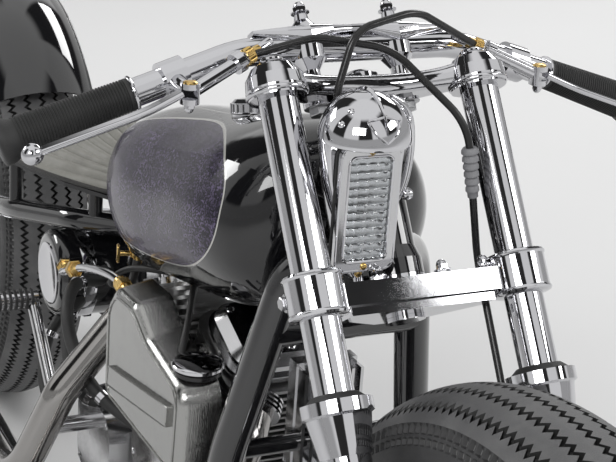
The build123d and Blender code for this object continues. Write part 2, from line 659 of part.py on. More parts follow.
# Clutch cable, the part that turns with the fork: from the left barrel over the yoke and down behind the lamp
left_barrel_end = Vector(barrel_end.X, -barrel_end.Y, barrel_end.Z)
left_barrel_way = Vector(barrel_way.X, -barrel_way.Y, barrel_way.Z)
clutch_upper_points = [
    left_barrel_end + left_barrel_way * 2.5,
    fork_point(UPPER_YOKE_BOTTOM + 62, 38, 30),
    fork_point(UPPER_YOKE_BOTTOM + 46, 38, -34),
    fork_point(UPPER_YOKE_BOTTOM, 14, -50),
    fork_point(UPPER_YOKE_BOTTOM - 58, -26, -46),
    fork_point(NECK_TOP - 82, -44, -40),
]
keep(bent_tube(clutch_upper_points, [50, 30, 50, 60], CABLE_RADIUS), "clutch_cable_upper")

# Steering head: a tube with a flared cup at each end
head_outline = [
    (STEM_RADIUS + RUNNING_FIT, NECK_BOTTOM), (BEARING_RADIUS, NECK_BOTTOM), (BEARING_RADIUS, NECK_BOTTOM + 14),
    (NECK_RADIUS, NECK_BOTTOM + 26), (NECK_RADIUS, NECK_TOP - 26), (BEARING_RADIUS, NECK_TOP - 14),
    (BEARING_RADIUS, NECK_TOP), (STEM_RADIUS + RUNNING_FIT, NECK_TOP),
]
steering_head = turned(head_outline, along_fork(0, 0, -STEM_OFFSET))
keep(steering_head, "steering_head")

# Backbone: a tube under the tank from the steering head, and the seat post that carries its end
neck_core = rod(fork_point(NECK_BOTTOM, -STEM_OFFSET), fork_point(NECK_TOP, -STEM_OFFSET), NECK_RADIUS)
backbone_points = [
    fork_point(NECK_BOTTOM + 72, -STEM_OFFSET), Vector(150, 0, 640), Vector(SEAT_POST_X, 0, SEAT_POST_TOP),
]
seat_post_foot = Vector(SEAT_POST_FOOT_X, 0, RAIL_Z)
with BuildPart() as backbone:
    add(bent_tube(backbone_points, 300, FRAME_TUBE))
    add(rod(seat_post_foot, (SEAT_POST_X, 0, SEAT_POST_TOP), FRAME_TUBE))
    foot_tube = rod((SEAT_POST_FOOT_X, -RAIL_Y, RAIL_Z), (SEAT_POST_FOOT_X, RAIL_Y, RAIL_Z), 15.05)
    add(foot_tube, mode=Mode.SUBTRACT)
    add(neck_core, mode=Mode.SUBTRACT)
    add(steering_head, mode=Mode.SUBTRACT)
backbone_tube = backbone.part.solids().sort_by(SortBy.VOLUME)[-1]
keep(backbone_tube, "backbone")

# Axle plates that carry the rear axle
with BuildPart() as axle_plates:
    for side in BOTH_SIDES:
        plate_origin = (REAR_AXLE[0], side * AXLE_PLATE_Y, REAR_AXLE[2])
        with BuildSketch(Plane(origin=plate_origin, x_dir=(1, 0, 0), z_dir=(0, -1, 0))):
            with BuildLine():
                Polyline((-34, -22), (-34, 22), (20, 40), (70, 40), (58, -44), (20, -44), close=True)
            make_face()
            Circle(AXLE_RADIUS, mode=Mode.SUBTRACT)
        extrude(amount=AXLE_PLATE_THICK / 2, both=True)
keep(axle_plates.part, "axle_plates")

# Cradle tubes: each leaves the steering head, bows out, bends under the engine and runs back to its axle plate
cradle_points = [
    fork_point(NECK_BOTTOM + 30, -STEM_OFFSET - 6, 0),
    Vector(440, 62, 668),
    Vector(404, 100, 465),
    Vector(366, RAIL_Y, 190),
    Vector(330, RAIL_Y, RAIL_Z),
    Vector(-420, RAIL_Y, RAIL_Z + 10),
    Vector(REAR_AXLE[0] + 50, AXLE_PLATE_Y, TYRE_RADIUS - 30),
]
STAND_LUG = Vector(60, RAIL_Y + 40, RAIL_Z - 14)
STAND_DOWN = Vector(70, 112, -90).normalized()
STAND_UP = Vector(-1, 0.1, 0.36).normalized()
STAND_AXIS = STAND_DOWN.cross(STAND_UP).normalized()
with BuildPart() as cradle:
    add(bent_tube(cradle_points, [60, 250, 300, 45, 160], FRAME_TUBE))
    for solid in (neck_core, steering_head, backbone_tube, axle_plates.part):
        add(solid, mode=Mode.SUBTRACT)
    split(bisect_by=Plane.XZ.offset(-0.2), keep=Keep.BOTTOM)
cradle_left = cradle.part.solids().sort_by(SortBy.VOLUME)[-1]
cradle_right = mirrored(cradle_left)
with BuildPart() as cradle_and_lug:
    add(cradle_left)
    lug_way = STAND_AXIS.cross(Vector(1, 0, 0)).normalized()
    with BuildSketch(Plane(origin=STAND_LUG - STAND_AXIS * 5, x_dir=lug_way * -1, z_dir=STAND_AXIS)):
        with Locations((20, 0)):
            Rectangle(44, 24)
    extrude(amount=10)
    add(rod(STAND_LUG - STAND_AXIS * 5, STAND_LUG + STAND_AXIS * 5, 16))
    add(rod(STAND_LUG - STAND_AXIS * 20, STAND_LUG + STAND_AXIS * 20, 6 + RUNNING_FIT), mode=Mode.SUBTRACT)
keep(cradle_and_lug.part, "cradle_left")
keep(cradle_right, "cradle_right")

# Cross tubes
# X, Z, half length, radius
CROSS_TUBES = [
    (428, 598, 74, FRAME_TUBE), (402, 462, 99, 9.0),
    (CRANK_X + 70, RAIL_Z, RAIL_Y, 12.0), (CRANK_X - 70, RAIL_Z, RAIL_Y, 12.0),
    (GEARBOX_X - 8, RAIL_Z, RAIL_Y, 12.0), (SEAT_POST_FOOT_X, RAIL_Z, RAIL_Y, 15.0),
]
with BuildPart() as cross_tubes:
    for x, z, half, radius in CROSS_TUBES:
        add(trimmed(rod((x, -half, z), (x, half, z), radius), (cradle_left, cradle_right)))
keep(cross_tubes.part, "cross_tubes")

# Upper stays, from the seat post back to the axle plates
stay_points = [
    Vector(SEAT_POST_X - 2, 8, SEAT_POST_TOP - 18), Vector(-170, 70, 502), Vector(-300, 110, 476),
    Vector(REAR_AXLE[0] + 45, AXLE_PLATE_Y, TYRE_RADIUS + 22),
]
with BuildPart() as upper_stays:
    add(bent_tube(stay_points, [60, 160], STAY_TUBE))
    add(backbone_tube, mode=Mode.SUBTRACT)
    add(axle_plates.part, mode=Mode.SUBTRACT)
    split(bisect_by=Plane.XZ.offset(-0.2), keep=Keep.BOTTOM)
stay_left = upper_stays.part.solids().sort_by(SortBy.VOLUME)[-1]
with BuildPart() as both_stays:
    add(stay_left)
    mirror(about=Plane.XZ)
keep(both_stays.part, "upper_stays")

# Tank: a teardrop that is widest behind the steering head, with a tunnel over the backbone
# X, half width, floor, top, the share of the half width that the floor has
TANK_SECTIONS = [
    (TANK_FRONT, 60, 636, 748, 0.5), (388, 106, 604, TANK_TOP, 0.55), (290, TANK_HALF_WIDTH, 584, 764, 0.68),
    (160, 118, 566, 731, 0.82), (40, 104, 558, 704, 0.8), (TANK_REAR + 45, 72, 564, 676, 0.65),
    (TANK_REAR, 30, 592, 648, 0.5),
]
with BuildPart() as fuel_tank:
    for x, half, floor, top, share in TANK_SECTIONS:
        tall = top - floor
        with BuildSketch(Plane(origin=(x, 0, floor), x_dir=(0, 1, 0), z_dir=(1, 0, 0))):
            with BuildLine():
                Line((-share * half, 0), (share * half, 0))
                ThreePointArc((share * half, 0), (0.98 * half, 0.4 * tall), (0.78 * half, 0.8 * tall))
                ThreePointArc((0.78 * half, 0.8 * tall), (0, tall), (-0.78 * half, 0.8 * tall))
                ThreePointArc((-0.78 * half, 0.8 * tall), (-0.98 * half, 0.4 * tall), (-share * half, 0))
            make_face()
    loft()
    add(bent_tube(backbone_points, 300, FRAME_TUBE + 1.5), mode=Mode.SUBTRACT)
    tunnel = [(point.X, point.Z) for point in backbone_points]
    with BuildSketch(Plane.XZ):
        with BuildLine():
            Polyline(*tunnel, (SEAT_POST_X, 500), (backbone_points[0].X, 500), close=True)
        make_face()
    extrude(amount=FRAME_TUBE + 1.5, both=True, mode=Mode.SUBTRACT)
    for x, z in ((345, 696), (30, 588)):
        add(rod((x, -30, z), (x, 30, z), 8))
    add(backbone_tube, mode=Mode.SUBTRACT)
tank_part = fuel_tank.part.solids().sort_by(SortBy.VOLUME)[-1]
keep(tank_part, "fuel_tank")

# Filler cap on the tank's crown
cap_plane = Plane(origin=(215, 0, 742), x_dir=(1, 0, 0.25), z_dir=(0, -1, 0))
cap_outline = [(0, -10), (30, -10), (30, 12), (26, 16), (0, 18)]
with BuildPart() as fuel_cap:
    add(turned(cap_outline, cap_plane))
    add(tank_part, mode=Mode.SUBTRACT)
keep(fuel_cap.part.solids().sort_by(SortBy.VOLUME)[-1], "fuel_cap")

# Seat pan over the stays and the padded seat on it
SEAT_FRONT = TANK_REAR - 14
SEAT_REAR = -400.0
SEAT_PAN_Z = 546.0
SEAT_PAN_THICK = 5.0
SEAT_DEPTH = 34.0
SEAT_PLAN = [
    (SEAT_FRONT, 40), (SEAT_FRONT - 80, 84), (-290, 128), (SEAT_REAR + 24, 122), (SEAT_REAR, 84),
    (SEAT_REAR, -84), (SEAT_REAR + 24, -122), (-290, -128), (SEAT_FRONT - 80, -84), (SEAT_FRONT, -40),
]
with BuildPart() as seat_pan:
    add(plate(SEAT_PLAN, Plane.XY.offset(SEAT_PAN_Z), SEAT_PAN_THICK, 14))
    for x, y in ((-150, 50), (-150, -50), (-300, 108), (-300, -108)):
        add(rod((x, y, 470), (x, y, SEAT_PAN_Z + 1), 9))
    add(both_stays.part, mode=Mode.SUBTRACT)
    add(backbone_tube, mode=Mode.SUBTRACT)
keep(seat_pan.part.solids().sort_by(SortBy.VOLUME)[-1], "seat_pan")
with BuildPart() as seat:
    with BuildSketch(Plane.XY.offset(SEAT_PAN_Z + SEAT_PAN_THICK + 0.3)) as cushion_plan:
        with BuildLine():
            Polyline(*SEAT_PLAN, close=True)
        make_face()
        fillet(cushion_plan.vertices(), 14)
    extrude(amount=SEAT_DEPTH, taper=14)
keep(seat.part, "seat")

# Rear mudguard: a crowned strip over the back of the tyre, on two stays a side
GUARD_RADIUS = TYRE_RADIUS + 20
GUARD_START = 12.0
GUARD_SWEEP = 128.0
guard_out = Vector(-cos(radians(GUARD_START)), 0, sin(radians(GUARD_START)))
with BuildPart() as rear_mudguard:
    with BuildSketch(Plane(origin=REAR_AXLE, x_dir=guard_out, z_dir=Vector(0, 1, 0).cross(guard_out))):
        with BuildLine():
            ThreePointArc((GUARD_RADIUS - 22, -78), (GUARD_RADIUS + 14, 0), (GUARD_RADIUS - 22, 78))
            Line((GUARD_RADIUS - 22, 78), (GUARD_RADIUS - 25, 75))
            ThreePointArc((GUARD_RADIUS - 25, 75), (GUARD_RADIUS + 11, 0), (GUARD_RADIUS - 25, -75))
            Line((GUARD_RADIUS - 25, -75), (GUARD_RADIUS - 22, -78))
        make_face()
    revolve(axis=Axis(REAR_AXLE, (0, 1, 0)), revolution_arc=GUARD_SWEEP)
    for side in BOTH_SIDES:
        for angle in (150.0, 100.0):
            reach = GUARD_RADIUS - 20
            top = Vector(
                REAR_AXLE[0] + reach * cos(radians(angle)), side * 81, REAR_AXLE[2] + reach * sin(radians(angle))
            )
            add(rod((REAR_AXLE[0] + 20, side * (AXLE_PLATE_Y - 9), REAR_AXLE[2] + 24), top, 5))
    add(axle_plates.part, mode=Mode.SUBTRACT)
keep(rear_mudguard.part, "rear_mudguard")

# Tail lamp on the guard's crown with a bare plate under it
lamp_angle = radians(158.0)
lamp_reach = GUARD_RADIUS + 10
lamp_seat = Vector(
    REAR_AXLE[0] + lamp_reach * cos(lamp_angle), 0, REAR_AXLE[2] + lamp_reach * sin(lamp_angle)
)
with BuildPart() as tail_lamp:
    add(rod(lamp_seat, lamp_seat + Vector(-38, 0, 12), 26))
    add(rear_mudguard.part, mode=Mode.SUBTRACT)
keep(tail_lamp.part.solids().sort_by(SortBy.VOLUME)[-1], "tail_lamp")

# Engine: crankcase with its decks
crank = Vector(CRANK_X, 0, CRANK_Z)
# which way each cylinder leans: 1 forward, -1 back
BANKS = (1, -1)


def bank_way(bank):
    return Vector(bank * sin(radians(VEE_HALF_ANGLE)), 0, cos(radians(VEE_HALF_ANGLE)))


def bank_plane(bank, up):
    """A plane square to a cylinder's axis, its X forward and its Y to the left."""
    way = bank_way(bank)
    return Plane(origin=crank + way * up, x_dir=Vector(way.Z, 0, -way.X), z_dir=way)


with BuildPart() as crankcase:
    with BuildSketch(Plane(origin=crank, x_dir=(1, 0, 0), z_dir=(0, -1, 0))):
        Circle(CASE_RADIUS)
    extrude(amount=CASE_HALF_WIDTH, both=True)
    for bank in BANKS:
        with BuildSketch(bank_plane(bank, 20)):
            RectangleRounded(100, 112, 14)
        extrude(amount=BARREL_START - 20)
    with BuildSketch(Plane(origin=crank + Vector(0, CASE_HALF_WIDTH, 0), x_dir=(1, 0, 0), z_dir=(0, 1, 0))):
        Circle(58)
    extrude(amount=PRIMARY_INNER - CASE_HALF_WIDTH)
    for x in (CRANK_X - 70, CRANK_X + 70):
        with BuildSketch(Plane(origin=(x, 0, RAIL_Z + 12), z_dir=(0, 0, 1))):
            RectangleRounded(26, 100, 6)
        extrude(amount=80)
keep(crankcase.part, "crankcase")

# Finned cylinders, cut where the two banks' fins meet
def finned_cylinder(bank):
    pitch = BARREL_LENGTH / FIN_COUNT
    with BuildPart() as cylinder:
        with BuildSketch(bank_plane(bank, BARREL_START + 0.05)):
            Circle(BARREL_RADIUS)
        extrude(amount=BARREL_LENGTH)
        for count in range(FIN_COUNT):
            with BuildSketch(bank_plane(bank, BARREL_START + pitch * (count + 0.4))):
                RectangleRounded(FIN_LENGTH, FIN_WIDTH, 30)
            extrude(amount=FIN_THICK)
        split(bisect_by=Plane(origin=(CRANK_X + bank * 1.5, 0, 0), z_dir=(bank, 0, 0)), keep=Keep.TOP)
    return cylinder.part


with BuildPart() as cylinders:
    for bank in BANKS:
        add(finned_cylinder(bank))
keep(cylinders.part, "cylinders")
HEAD_START = BARREL_START + BARREL_LENGTH + 0.1
with BuildPart() as cylinder_heads:
    for bank in BANKS:
        with BuildSketch(bank_plane(bank, HEAD_START)):
            RectangleRounded(FIN_LENGTH - 26, FIN_WIDTH - 26, 20)
        extrude(amount=HEAD_LENGTH)
        for count in range(4):
            with BuildSketch(bank_plane(bank, HEAD_START + HEAD_LENGTH / 4 * (count + 0.2))):
                RectangleRounded(FIN_LENGTH, FIN_WIDTH + 8, 26)
            extrude(amount=FIN_THICK + 0.8)
keep(cylinder_heads.part, "cylinder_heads")
with BuildPart() as rocker_boxes:
    for bank in BANKS:
        with BuildSketch(bank_plane(bank, HEAD_START + HEAD_LENGTH + 0.1)):
            RectangleRounded(106, 132, 30)
        extrude(amount=7)
        with BuildSketch(bank_plane(bank, HEAD_START + HEAD_LENGTH + 7)):
            RectangleRounded(98, 124, 28)
        extrude(amount=ROCKER_HEIGHT - 17)
        with BuildSketch(bank_plane(bank, HEAD_START + HEAD_LENGTH + ROCKER_HEIGHT - 10)) as box_top:
            RectangleRounded(98, 124, 28)
        extrude(amount=10, taper=45)
keep(rocker_boxes.part, "rocker_boxes")

# Timing cover on the right of the crankcase
with BuildPart() as timing_cover:
    cover_origin = crank + Vector(0, -CASE_HALF_WIDTH - 0.1, 0)
    with BuildSketch(Plane(origin=cover_origin, x_dir=(1, 0, 0), z_dir=(0, -1, 0))):
        Circle(62)
        with Locations((0, 52)):
            RectangleRounded(150, 74, 30)
    extrude(amount=30, taper=8)
keep(timing_cover.part, "timing_cover")

# Pushrod tubes from the timing cover up to the heads
with BuildPart() as pushrod_tubes:
    for bank in BANKS:
        for shift in (-12, 12):
            foot = Vector(CRANK_X + bank * 38 + shift, -CASE_HALF_WIDTH - 16, CRANK_Z + 80)
            top = crank + bank_way(bank) * (HEAD_START + 4) + Vector(shift * 1.2, -FIN_WIDTH / 2 - 12, 0)
            add(rod(foot, top, 6.5))
    add(timing_cover.part, mode=Mode.SUBTRACT)
keep(pushrod_tubes.part, "pushrod_tubes")

# Polished side cover over the carburettor, with a bare raised strip
COVER_INNER = 92.0
COVER_OUTER = 134.0
COVER_OUTLINE = [
    (132, 400), (132, 520), (158, 550), (222, 554), (262, 532), (352, 518), (366, 500), (360, 400),
]
with BuildPart() as side_cover:
    with BuildSketch(Plane(origin=(0, -COVER_INNER, 0), x_dir=(1, 0, 0), z_dir=(0, -1, 0))) as cover_shape:
        with BuildLine():
            Polyline(*COVER_OUTLINE, close=True)
        make_face()
        fillet(cover_shape.vertices(), 26)
    extrude(amount=COVER_OUTER - COVER_INNER, taper=10)
    fillet(side_cover.faces().sort_by(Axis.Y)[0].edges(), 12)
    cover_face = Plane(origin=(0, -COVER_OUTER, 0), x_dir=(1, 0, 0), z_dir=(0, -1, 0))
    add(plate([(158, 430), (162, 454), (336, 485), (334, 461)], cover_face, 4, 2))
    for x in (140, 262):
        add(rod((x, -FIN_WIDTH / 2 - 4, 500), (x, -COVER_INNER - 1, 500), 14))
keep(side_cover.part, "side_cover")

# Voltage regulator with upright fins between the cradle tubes
with BuildPart() as regulator:
    with BuildSketch(Plane(origin=(388, 4, 431), z_dir=(0, 0, 1))):
        Rectangle(16, 66)
    extrude(amount=112)
    for count in range(7):
        with BuildSketch(Plane(origin=(404, -26 + 10 * count, 435), z_dir=(0, 0, 1))):
            Rectangle(20, 3.2)
        extrude(amount=104)
    for solid in (cross_tubes.part,):
        add(solid, mode=Mode.SUBTRACT)
keep(regulator.part, "regulator")

# Exhaust pipes, out of the front of the front head and the back of the rear head, then low along the right
# points of each pipe, and the radii of its bends
PIPE_RADIUS = 20.0
OUTLET_RADIUS = 17.5
OUTLET_DEPTH = 60.0
EXHAUSTS = [
    (
        [(316, -30, 474), (352, -58, 440), (342, -78, 370), (318, -168, 262), (236, -182, 166), (-640, -182, 166)],
        [30, 60, 60, 60],
    ),
    ([(64, -30, 474), (12, -66, 446), (0, -138, 350), (-40, -182, 212), (-600, -182, 212)], [45, 60, 80]),
]
with BuildPart() as exhaust_pipes:
    for points, radii in EXHAUSTS:
        pipe = bent_tube([Vector(*point) for point in points], radii, PIPE_RADIUS)
        outlet = Vector(*points[-1])
        bore = rod(outlet + Vector(OUTLET_DEPTH, 0, 0), outlet - Vector(5, 0, 0), OUTLET_RADIUS)
        add(trimmed(pipe, (cylinder_heads.part, cylinders.part, rocker_boxes.part, bore)))
keep(exhaust_pipes.part, "exhaust_pipes")

# Primary cover on the left, over the crank's sprocket and the clutch
with BuildPart() as primary_cover:
    primary_plane = Plane(origin=(0, PRIMARY_INNER + 0.1, 0), x_dir=(-1, 0, 0), z_dir=(0, 1, 0))
    with BuildSketch(primary_plane):
        with Locations((-CRANK_X, CRANK_Z)):
            Circle(78)
        with Locations((-GEARBOX_X, GEARBOX_Z)):
            Circle(94)
        make_hull()
    extrude(amount=PRIMARY_OUTER - PRIMARY_INNER, taper=10)
keep(primary_cover.part, "primary_cover")

# Gearbox with its output sprocket behind the primary cover
with BuildPart() as gearbox:
    with BuildSketch(Plane(origin=(GEARBOX_X, 0, 205), z_dir=(0, 0, 1))):
        RectangleRounded(120, 116, 16)
    extrude(amount=124)
    with BuildSketch(Plane(origin=(GEARBOX_X - 8, 0, RAIL_Z + 12), z_dir=(0, 0, 1))):
        RectangleRounded(30, 90, 6)
    extrude(amount=80)
    # where each part of the output shaft starts and ends, and its radius
    output_shaft = (
        (50, PRIMARY_INNER, 16),
        (CHAIN_Y - CHAIN_WIDTH / 2, CHAIN_Y + CHAIN_WIDTH / 2, DRIVE_SPROCKET_RADIUS - 7),
    )
    for near, far, radius in output_shaft:
        add(rod((GEARBOX_X, near, GEARBOX_Z), (GEARBOX_X, far, GEARBOX_Z), radius))
keep(gearbox.part, "gearbox")

# Kick-starter: its cover on the gearbox, the shaft, the arm and the pedal
with BuildPart() as kick_starter:
    with BuildSketch(Plane(origin=(GEARBOX_X - 14, -58.1, 264), x_dir=(1, 0, 0), z_dir=(0, -1, 0))):
        RectangleRounded(128, 116, 34)
    extrude(amount=30, taper=8)
    add(rod((-72, -80, 268), (-72, -124, 268), 10))
    add(rod((-72, -116, 268), (-176, -122, 398), 8))
    add(rod((-176, -116, 398), (-176, -186, 398), 11))
keep(kick_starter.part, "kick_starter")

# Oil tank: a round tank across the frame behind the seat post
with BuildPart() as oil_tank:
    add(rod((-206, -92, 418), (-206, 92, 418), 58))
    fillet(oil_tank.edges().filter_by(GeomType.CIRCLE), 14)
    add(rod((-206, 30, 470), (-190, 30, 486), 14))
    add(rod((-170, 0, 418), (-128, 0, 418), 12))
    add(backbone_tube, mode=Mode.SUBTRACT)
keep(oil_tank.part.solids().sort_by(SortBy.VOLUME)[-1], "oil_tank")

# Rear sprocket on the wheel's hub and the drive chain round both sprockets
with BuildPart() as rear_sprocket:
    disc_start = (REAR_AXLE[0], CHAIN_Y - 3, REAR_AXLE[2])
    disc_end = (REAR_AXLE[0], CHAIN_Y + 3, REAR_AXLE[2])
    add(rod(disc_start, disc_end, WHEEL_SPROCKET_RADIUS - 8))
    for count in range(6):
        angle = radians(60 * count)
        hole = (REAR_AXLE[0] + 54 * cos(angle), CHAIN_Y - 4, REAR_AXLE[2] + 54 * sin(angle))
        with BuildSketch(Plane(origin=hole, z_dir=(0, 1, 0))):
            Circle(11)
        extrude(amount=8, mode=Mode.SUBTRACT)
    add(rear_wheel, mode=Mode.SUBTRACT)
    hub = rod((REAR_AXLE[0], 0, REAR_AXLE[2]), (REAR_AXLE[0], 99, REAR_AXLE[2]), HUB_RADIUS)
    add(hub, mode=Mode.SUBTRACT)
keep(rear_sprocket.part, "rear_sprocket")
chain_plane = Plane(origin=(0, CHAIN_Y - CHAIN_WIDTH / 2, 0), x_dir=(-1, 0, 0), z_dir=(0, 1, 0))


def chain_slab(offset):
    """The space round both sprockets, out from the chain's pitch line."""
    with BuildPart() as slab:
        with BuildSketch(chain_plane):
            with Locations((-GEARBOX_X, GEARBOX_Z)):
                Circle(DRIVE_SPROCKET_RADIUS + offset)
            with Locations((-REAR_AXLE[0], REAR_AXLE[2])):
                Circle(WHEEL_SPROCKET_RADIUS + offset)
            make_hull()
        extrude(amount=CHAIN_WIDTH)
    return slab.part


with BuildPart() as drive_chain:
    add(chain_slab(6.0))
    add(chain_slab(-6.0), mode=Mode.SUBTRACT)
keep(drive_chain.part, "drive_chain")

# Foot pegs out from the cradle tubes and the pedals ahead of them
with BuildPart() as foot_pegs:
    for side in BOTH_SIDES:
        add(rod((382, side * 112, 300), (382, side * 142, 300), 8))
        add(rod((382, side * 142, 300), (382, side * 236, 300), 15))
    add(cradle_left, mode=Mode.SUBTRACT)
    add(cradle_right, mode=Mode.SUBTRACT)
keep(foot_pegs.part, "foot_pegs")
with BuildPart() as pedals:
    for side in BOTH_SIDES:
        add(rod((370, side * 146, 232), (468, side * 166, 302), 6))
        add(rod((370, side * 118, 232), (370, side * 152, 232), 9))
        add(rod((468, side * 160, 302), (468, side * 216, 302), 9))
    add(cradle_left, mode=Mode.SUBTRACT)
    add(cradle_right, mode=Mode.SUBTRACT)
keep(pedals.part, "pedals")

# Side stand: an eye and pin on the cradle's lug, the leg and a foot that lies flat once the motorcycle leans
lean_up = Vector(0, -sin(radians(LEAN)), cos(radians(LEAN)))
ground = -TREAD_CROWN * (1 - cos(radians(LEAN)))
STAND_FOOT_Y = 268.0
stand_foot = Vector(130, STAND_FOOT_Y, (ground + STAND_FOOT_Y * sin(radians(LEAN))) / cos(radians(LEAN)))
stand_eye = STAND_LUG + STAND_AXIS * 15.5
with BuildPart() as side_stand:
    add(rod(stand_eye - STAND_AXIS * 10, stand_eye + STAND_AXIS * 9, 15))
    add(rod(STAND_LUG - STAND_AXIS * 13, stand_eye, 6))
    add(rod(STAND_LUG - STAND_AXIS * 13, STAND_LUG - STAND_AXIS * 6, 10))
    add(rod(stand_eye, stand_foot + lean_up * 9, 8))
    add(rod(stand_foot, stand_foot + lean_up * 6, 24))
keep(side_stand.part, "side_stand")

# Clutch cable, the part held by the frame: from beside the steering head under the tank to the gearbox
clutch_lower_points = [
    fork_point(NECK_BOTTOM + 56, -STEM_OFFSET - 36, -10), Vector(405, 0, 683),
    Vector(150, 0, 608), Vector(-6, 14, 552), Vector(-34, 24, 500), Vector(GEARBOX_X - 20, 30, 331),
]
keep(bent_tube(clutch_lower_points, [60, 120, 40, 60], CABLE_RADIUS), "clutch_cable_lower")

# Lean everything on the side stand and set the ground at Z 0 under the middle of the whole
leaned = [Rot(-LEAN, 0, 0) * piece for piece in made]
boxes = [piece.bounding_box() for piece in leaned]
shift = Vector(
    -(min(box.min.X for box in boxes) + max(box.max.X for box in boxes)) / 2,
    -(min(box.min.Y for box in boxes) + max(box.max.Y for box in boxes)) / 2,
    -min(box.min.Z for box in boxes),
)
os.makedirs("parts", exist_ok=True)
for piece, turned_piece in zip(made, leaned):
    placed = Pos(shift.X, shift.Y, shift.Z) * turned_piece
    placed.label = piece.label
    export_step(placed, f"parts/{piece.label}.step")
print(len(made), "pieces, shifted", shift)
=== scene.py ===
from math import acos, atan2, cos, hypot, pi, radians, sin, sqrt

import bpy
import numpy as np
from mathutils import Matrix, Vector


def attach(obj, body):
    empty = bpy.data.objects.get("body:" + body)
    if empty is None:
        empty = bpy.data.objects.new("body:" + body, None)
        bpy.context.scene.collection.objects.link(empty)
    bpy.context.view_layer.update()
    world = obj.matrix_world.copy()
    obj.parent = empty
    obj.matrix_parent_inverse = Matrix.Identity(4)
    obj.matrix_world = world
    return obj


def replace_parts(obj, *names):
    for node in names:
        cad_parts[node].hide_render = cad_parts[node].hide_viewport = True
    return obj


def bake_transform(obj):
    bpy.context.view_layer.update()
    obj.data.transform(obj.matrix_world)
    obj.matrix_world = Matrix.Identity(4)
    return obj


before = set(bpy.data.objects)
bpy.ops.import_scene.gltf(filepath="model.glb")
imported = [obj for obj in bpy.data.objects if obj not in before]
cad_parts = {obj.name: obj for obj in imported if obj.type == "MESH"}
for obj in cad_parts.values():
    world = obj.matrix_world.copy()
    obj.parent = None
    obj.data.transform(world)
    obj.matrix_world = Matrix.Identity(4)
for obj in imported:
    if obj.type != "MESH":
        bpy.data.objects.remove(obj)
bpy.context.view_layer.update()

# Everything is laid out on the upright motorcycle in millimetres, X forward, Y to the rider's left, Z up.
# ON_STAND leans it onto its side stand, moves it to where the solids are and turns it to metres.
LEAN = radians(6.5)
SHIFT = Vector((24.6622, -90.5327, 0.482111))
LEANED = Matrix.Rotation(-LEAN, 4, "X")
ON_STAND = Matrix.Scale(0.001, 4) @ Matrix.Translation(SHIFT) @ LEANED
RAKE = radians(34)
UP_FORK = Vector((-sin(RAKE), 0, cos(RAKE)))
FORK_AHEAD = Vector((cos(RAKE), 0, sin(RAKE)))
AHEAD = Vector((1, 0, 0))
LEFT = Vector((0, 1, 0))
RIGHT = Vector((0, -1, 0))
UP = Vector((0, 0, 1))
FRONT_AXLE = Vector((800, 0, 334))
REAR_AXLE = Vector((-800, 0, 334))
CRANK = Vector((190, 0, 285))
BOTH_SIDES = (-1, 1)


def fork_point(up, ahead=0.0, side=0.0):
    return FRONT_AXLE + UP_FORK * up + FORK_AHEAD * ahead + Vector((0, side, 0))


def bank_way(bank):
    return Vector((bank * sin(radians(22.5)), 0, cos(radians(22.5))))


def round_from(middle, reach, degrees, side=0.0):
    """The point at a reach and an angle from a middle, in an upright plane along the motorcycle."""
    turn = radians(degrees)
    return middle + Vector((reach * cos(turn), side, reach * sin(turn)))


# Shapes: each function gives (points, faces), and joined() puts several into one


def facing(origin, way, hint=UP):
    """A placement whose Z runs along way."""
    z = Vector(way).normalized()
    x = Vector(hint).cross(z)
    if x.length < 1e-3:
        x = AHEAD.cross(z)
    x.normalize()
    y = z.cross(x)
    place = Matrix((x, y, z)).transposed().to_4x4()
    place.translation = Vector(origin)
    return place


def joined(shapes):
    points, faces = [], []
    for more_points, more_faces in shapes:
        base = len(points)
        points.extend(more_points)
        faces.extend([tuple(i + base for i in face) for face in more_faces])
    return points, faces


def moved(shape, place):
    return [place @ Vector(p) for p in shape[0]], shape[1]


def rings_to_shape(rings, caps=True):
    """Skin a list of rings that all have the same number of points."""
    count = len(rings[0])
    points = [Vector(p) for ring in rings for p in ring]
    faces = []
    for r in range(len(rings) - 1):
        for c in range(count):
            d = (c + 1) % count
            faces.append((r * count + c, r * count + d, (r + 1) * count + d, (r + 1) * count + c))
    if caps:
        faces.append(tuple(reversed(range(count))))
        last = (len(rings) - 1) * count
        faces.append(tuple(last + c for c in range(count)))
    return points, faces


def grid_faces(rows, columns):
    """The faces of a grid of points that are listed row by row."""
    faces = []
    for r in range(rows):
        for c in range(columns):
            a = r * (columns + 1) + c
            faces.append((a, a + 1, a + columns + 2, a + columns + 1))
    return faces


def turned(outline, place, segments=32):
    """Turn (radius, height) points about the placement's Z axis."""
    rings = []
    for radius, height in outline:
        radius = max(radius, 0.01)
        rings.append([
            (radius * cos(2 * pi * k / segments), radius * sin(2 * pi * k / segments), height) for k in range(segments)
        ])
    return moved(rings_to_shape(rings), place)


def rod(start, end, radius, segments=16, chamfer=0.6):
    run = Vector(end) - Vector(start)
    length = run.length
    edge = min(chamfer, radius * 0.4, length * 0.4)
    outline = [(radius - edge, 0), (radius, edge), (radius, length - edge), (radius - edge, length)]
    return turned(outline, facing(start, run), segments)


def slab(outline, thickness, place, chamfer=0.8):
    """A flat plate in the placement's XY plane with chamfered rims."""
    flat = [Vector((x, y, 0)) for x, y in outline]
    centre = sum(flat, Vector()) / len(flat)
    size = max((p - centre).length for p in flat)
    inner = [centre + (p - centre) * (1 - chamfer / size * 1.3) for p in flat]
    levels = [(inner, 0), (flat, chamfer), (flat, thickness - chamfer), (inner, thickness)]
    rings = [[p + Vector((0, 0, level)) for p in ring] for ring, level in levels]
    return moved(rings_to_shape(rings), place)


def hexagon(radius):
    return [(radius * cos(pi / 3 * k), radius * sin(pi / 3 * k)) for k in range(6)]


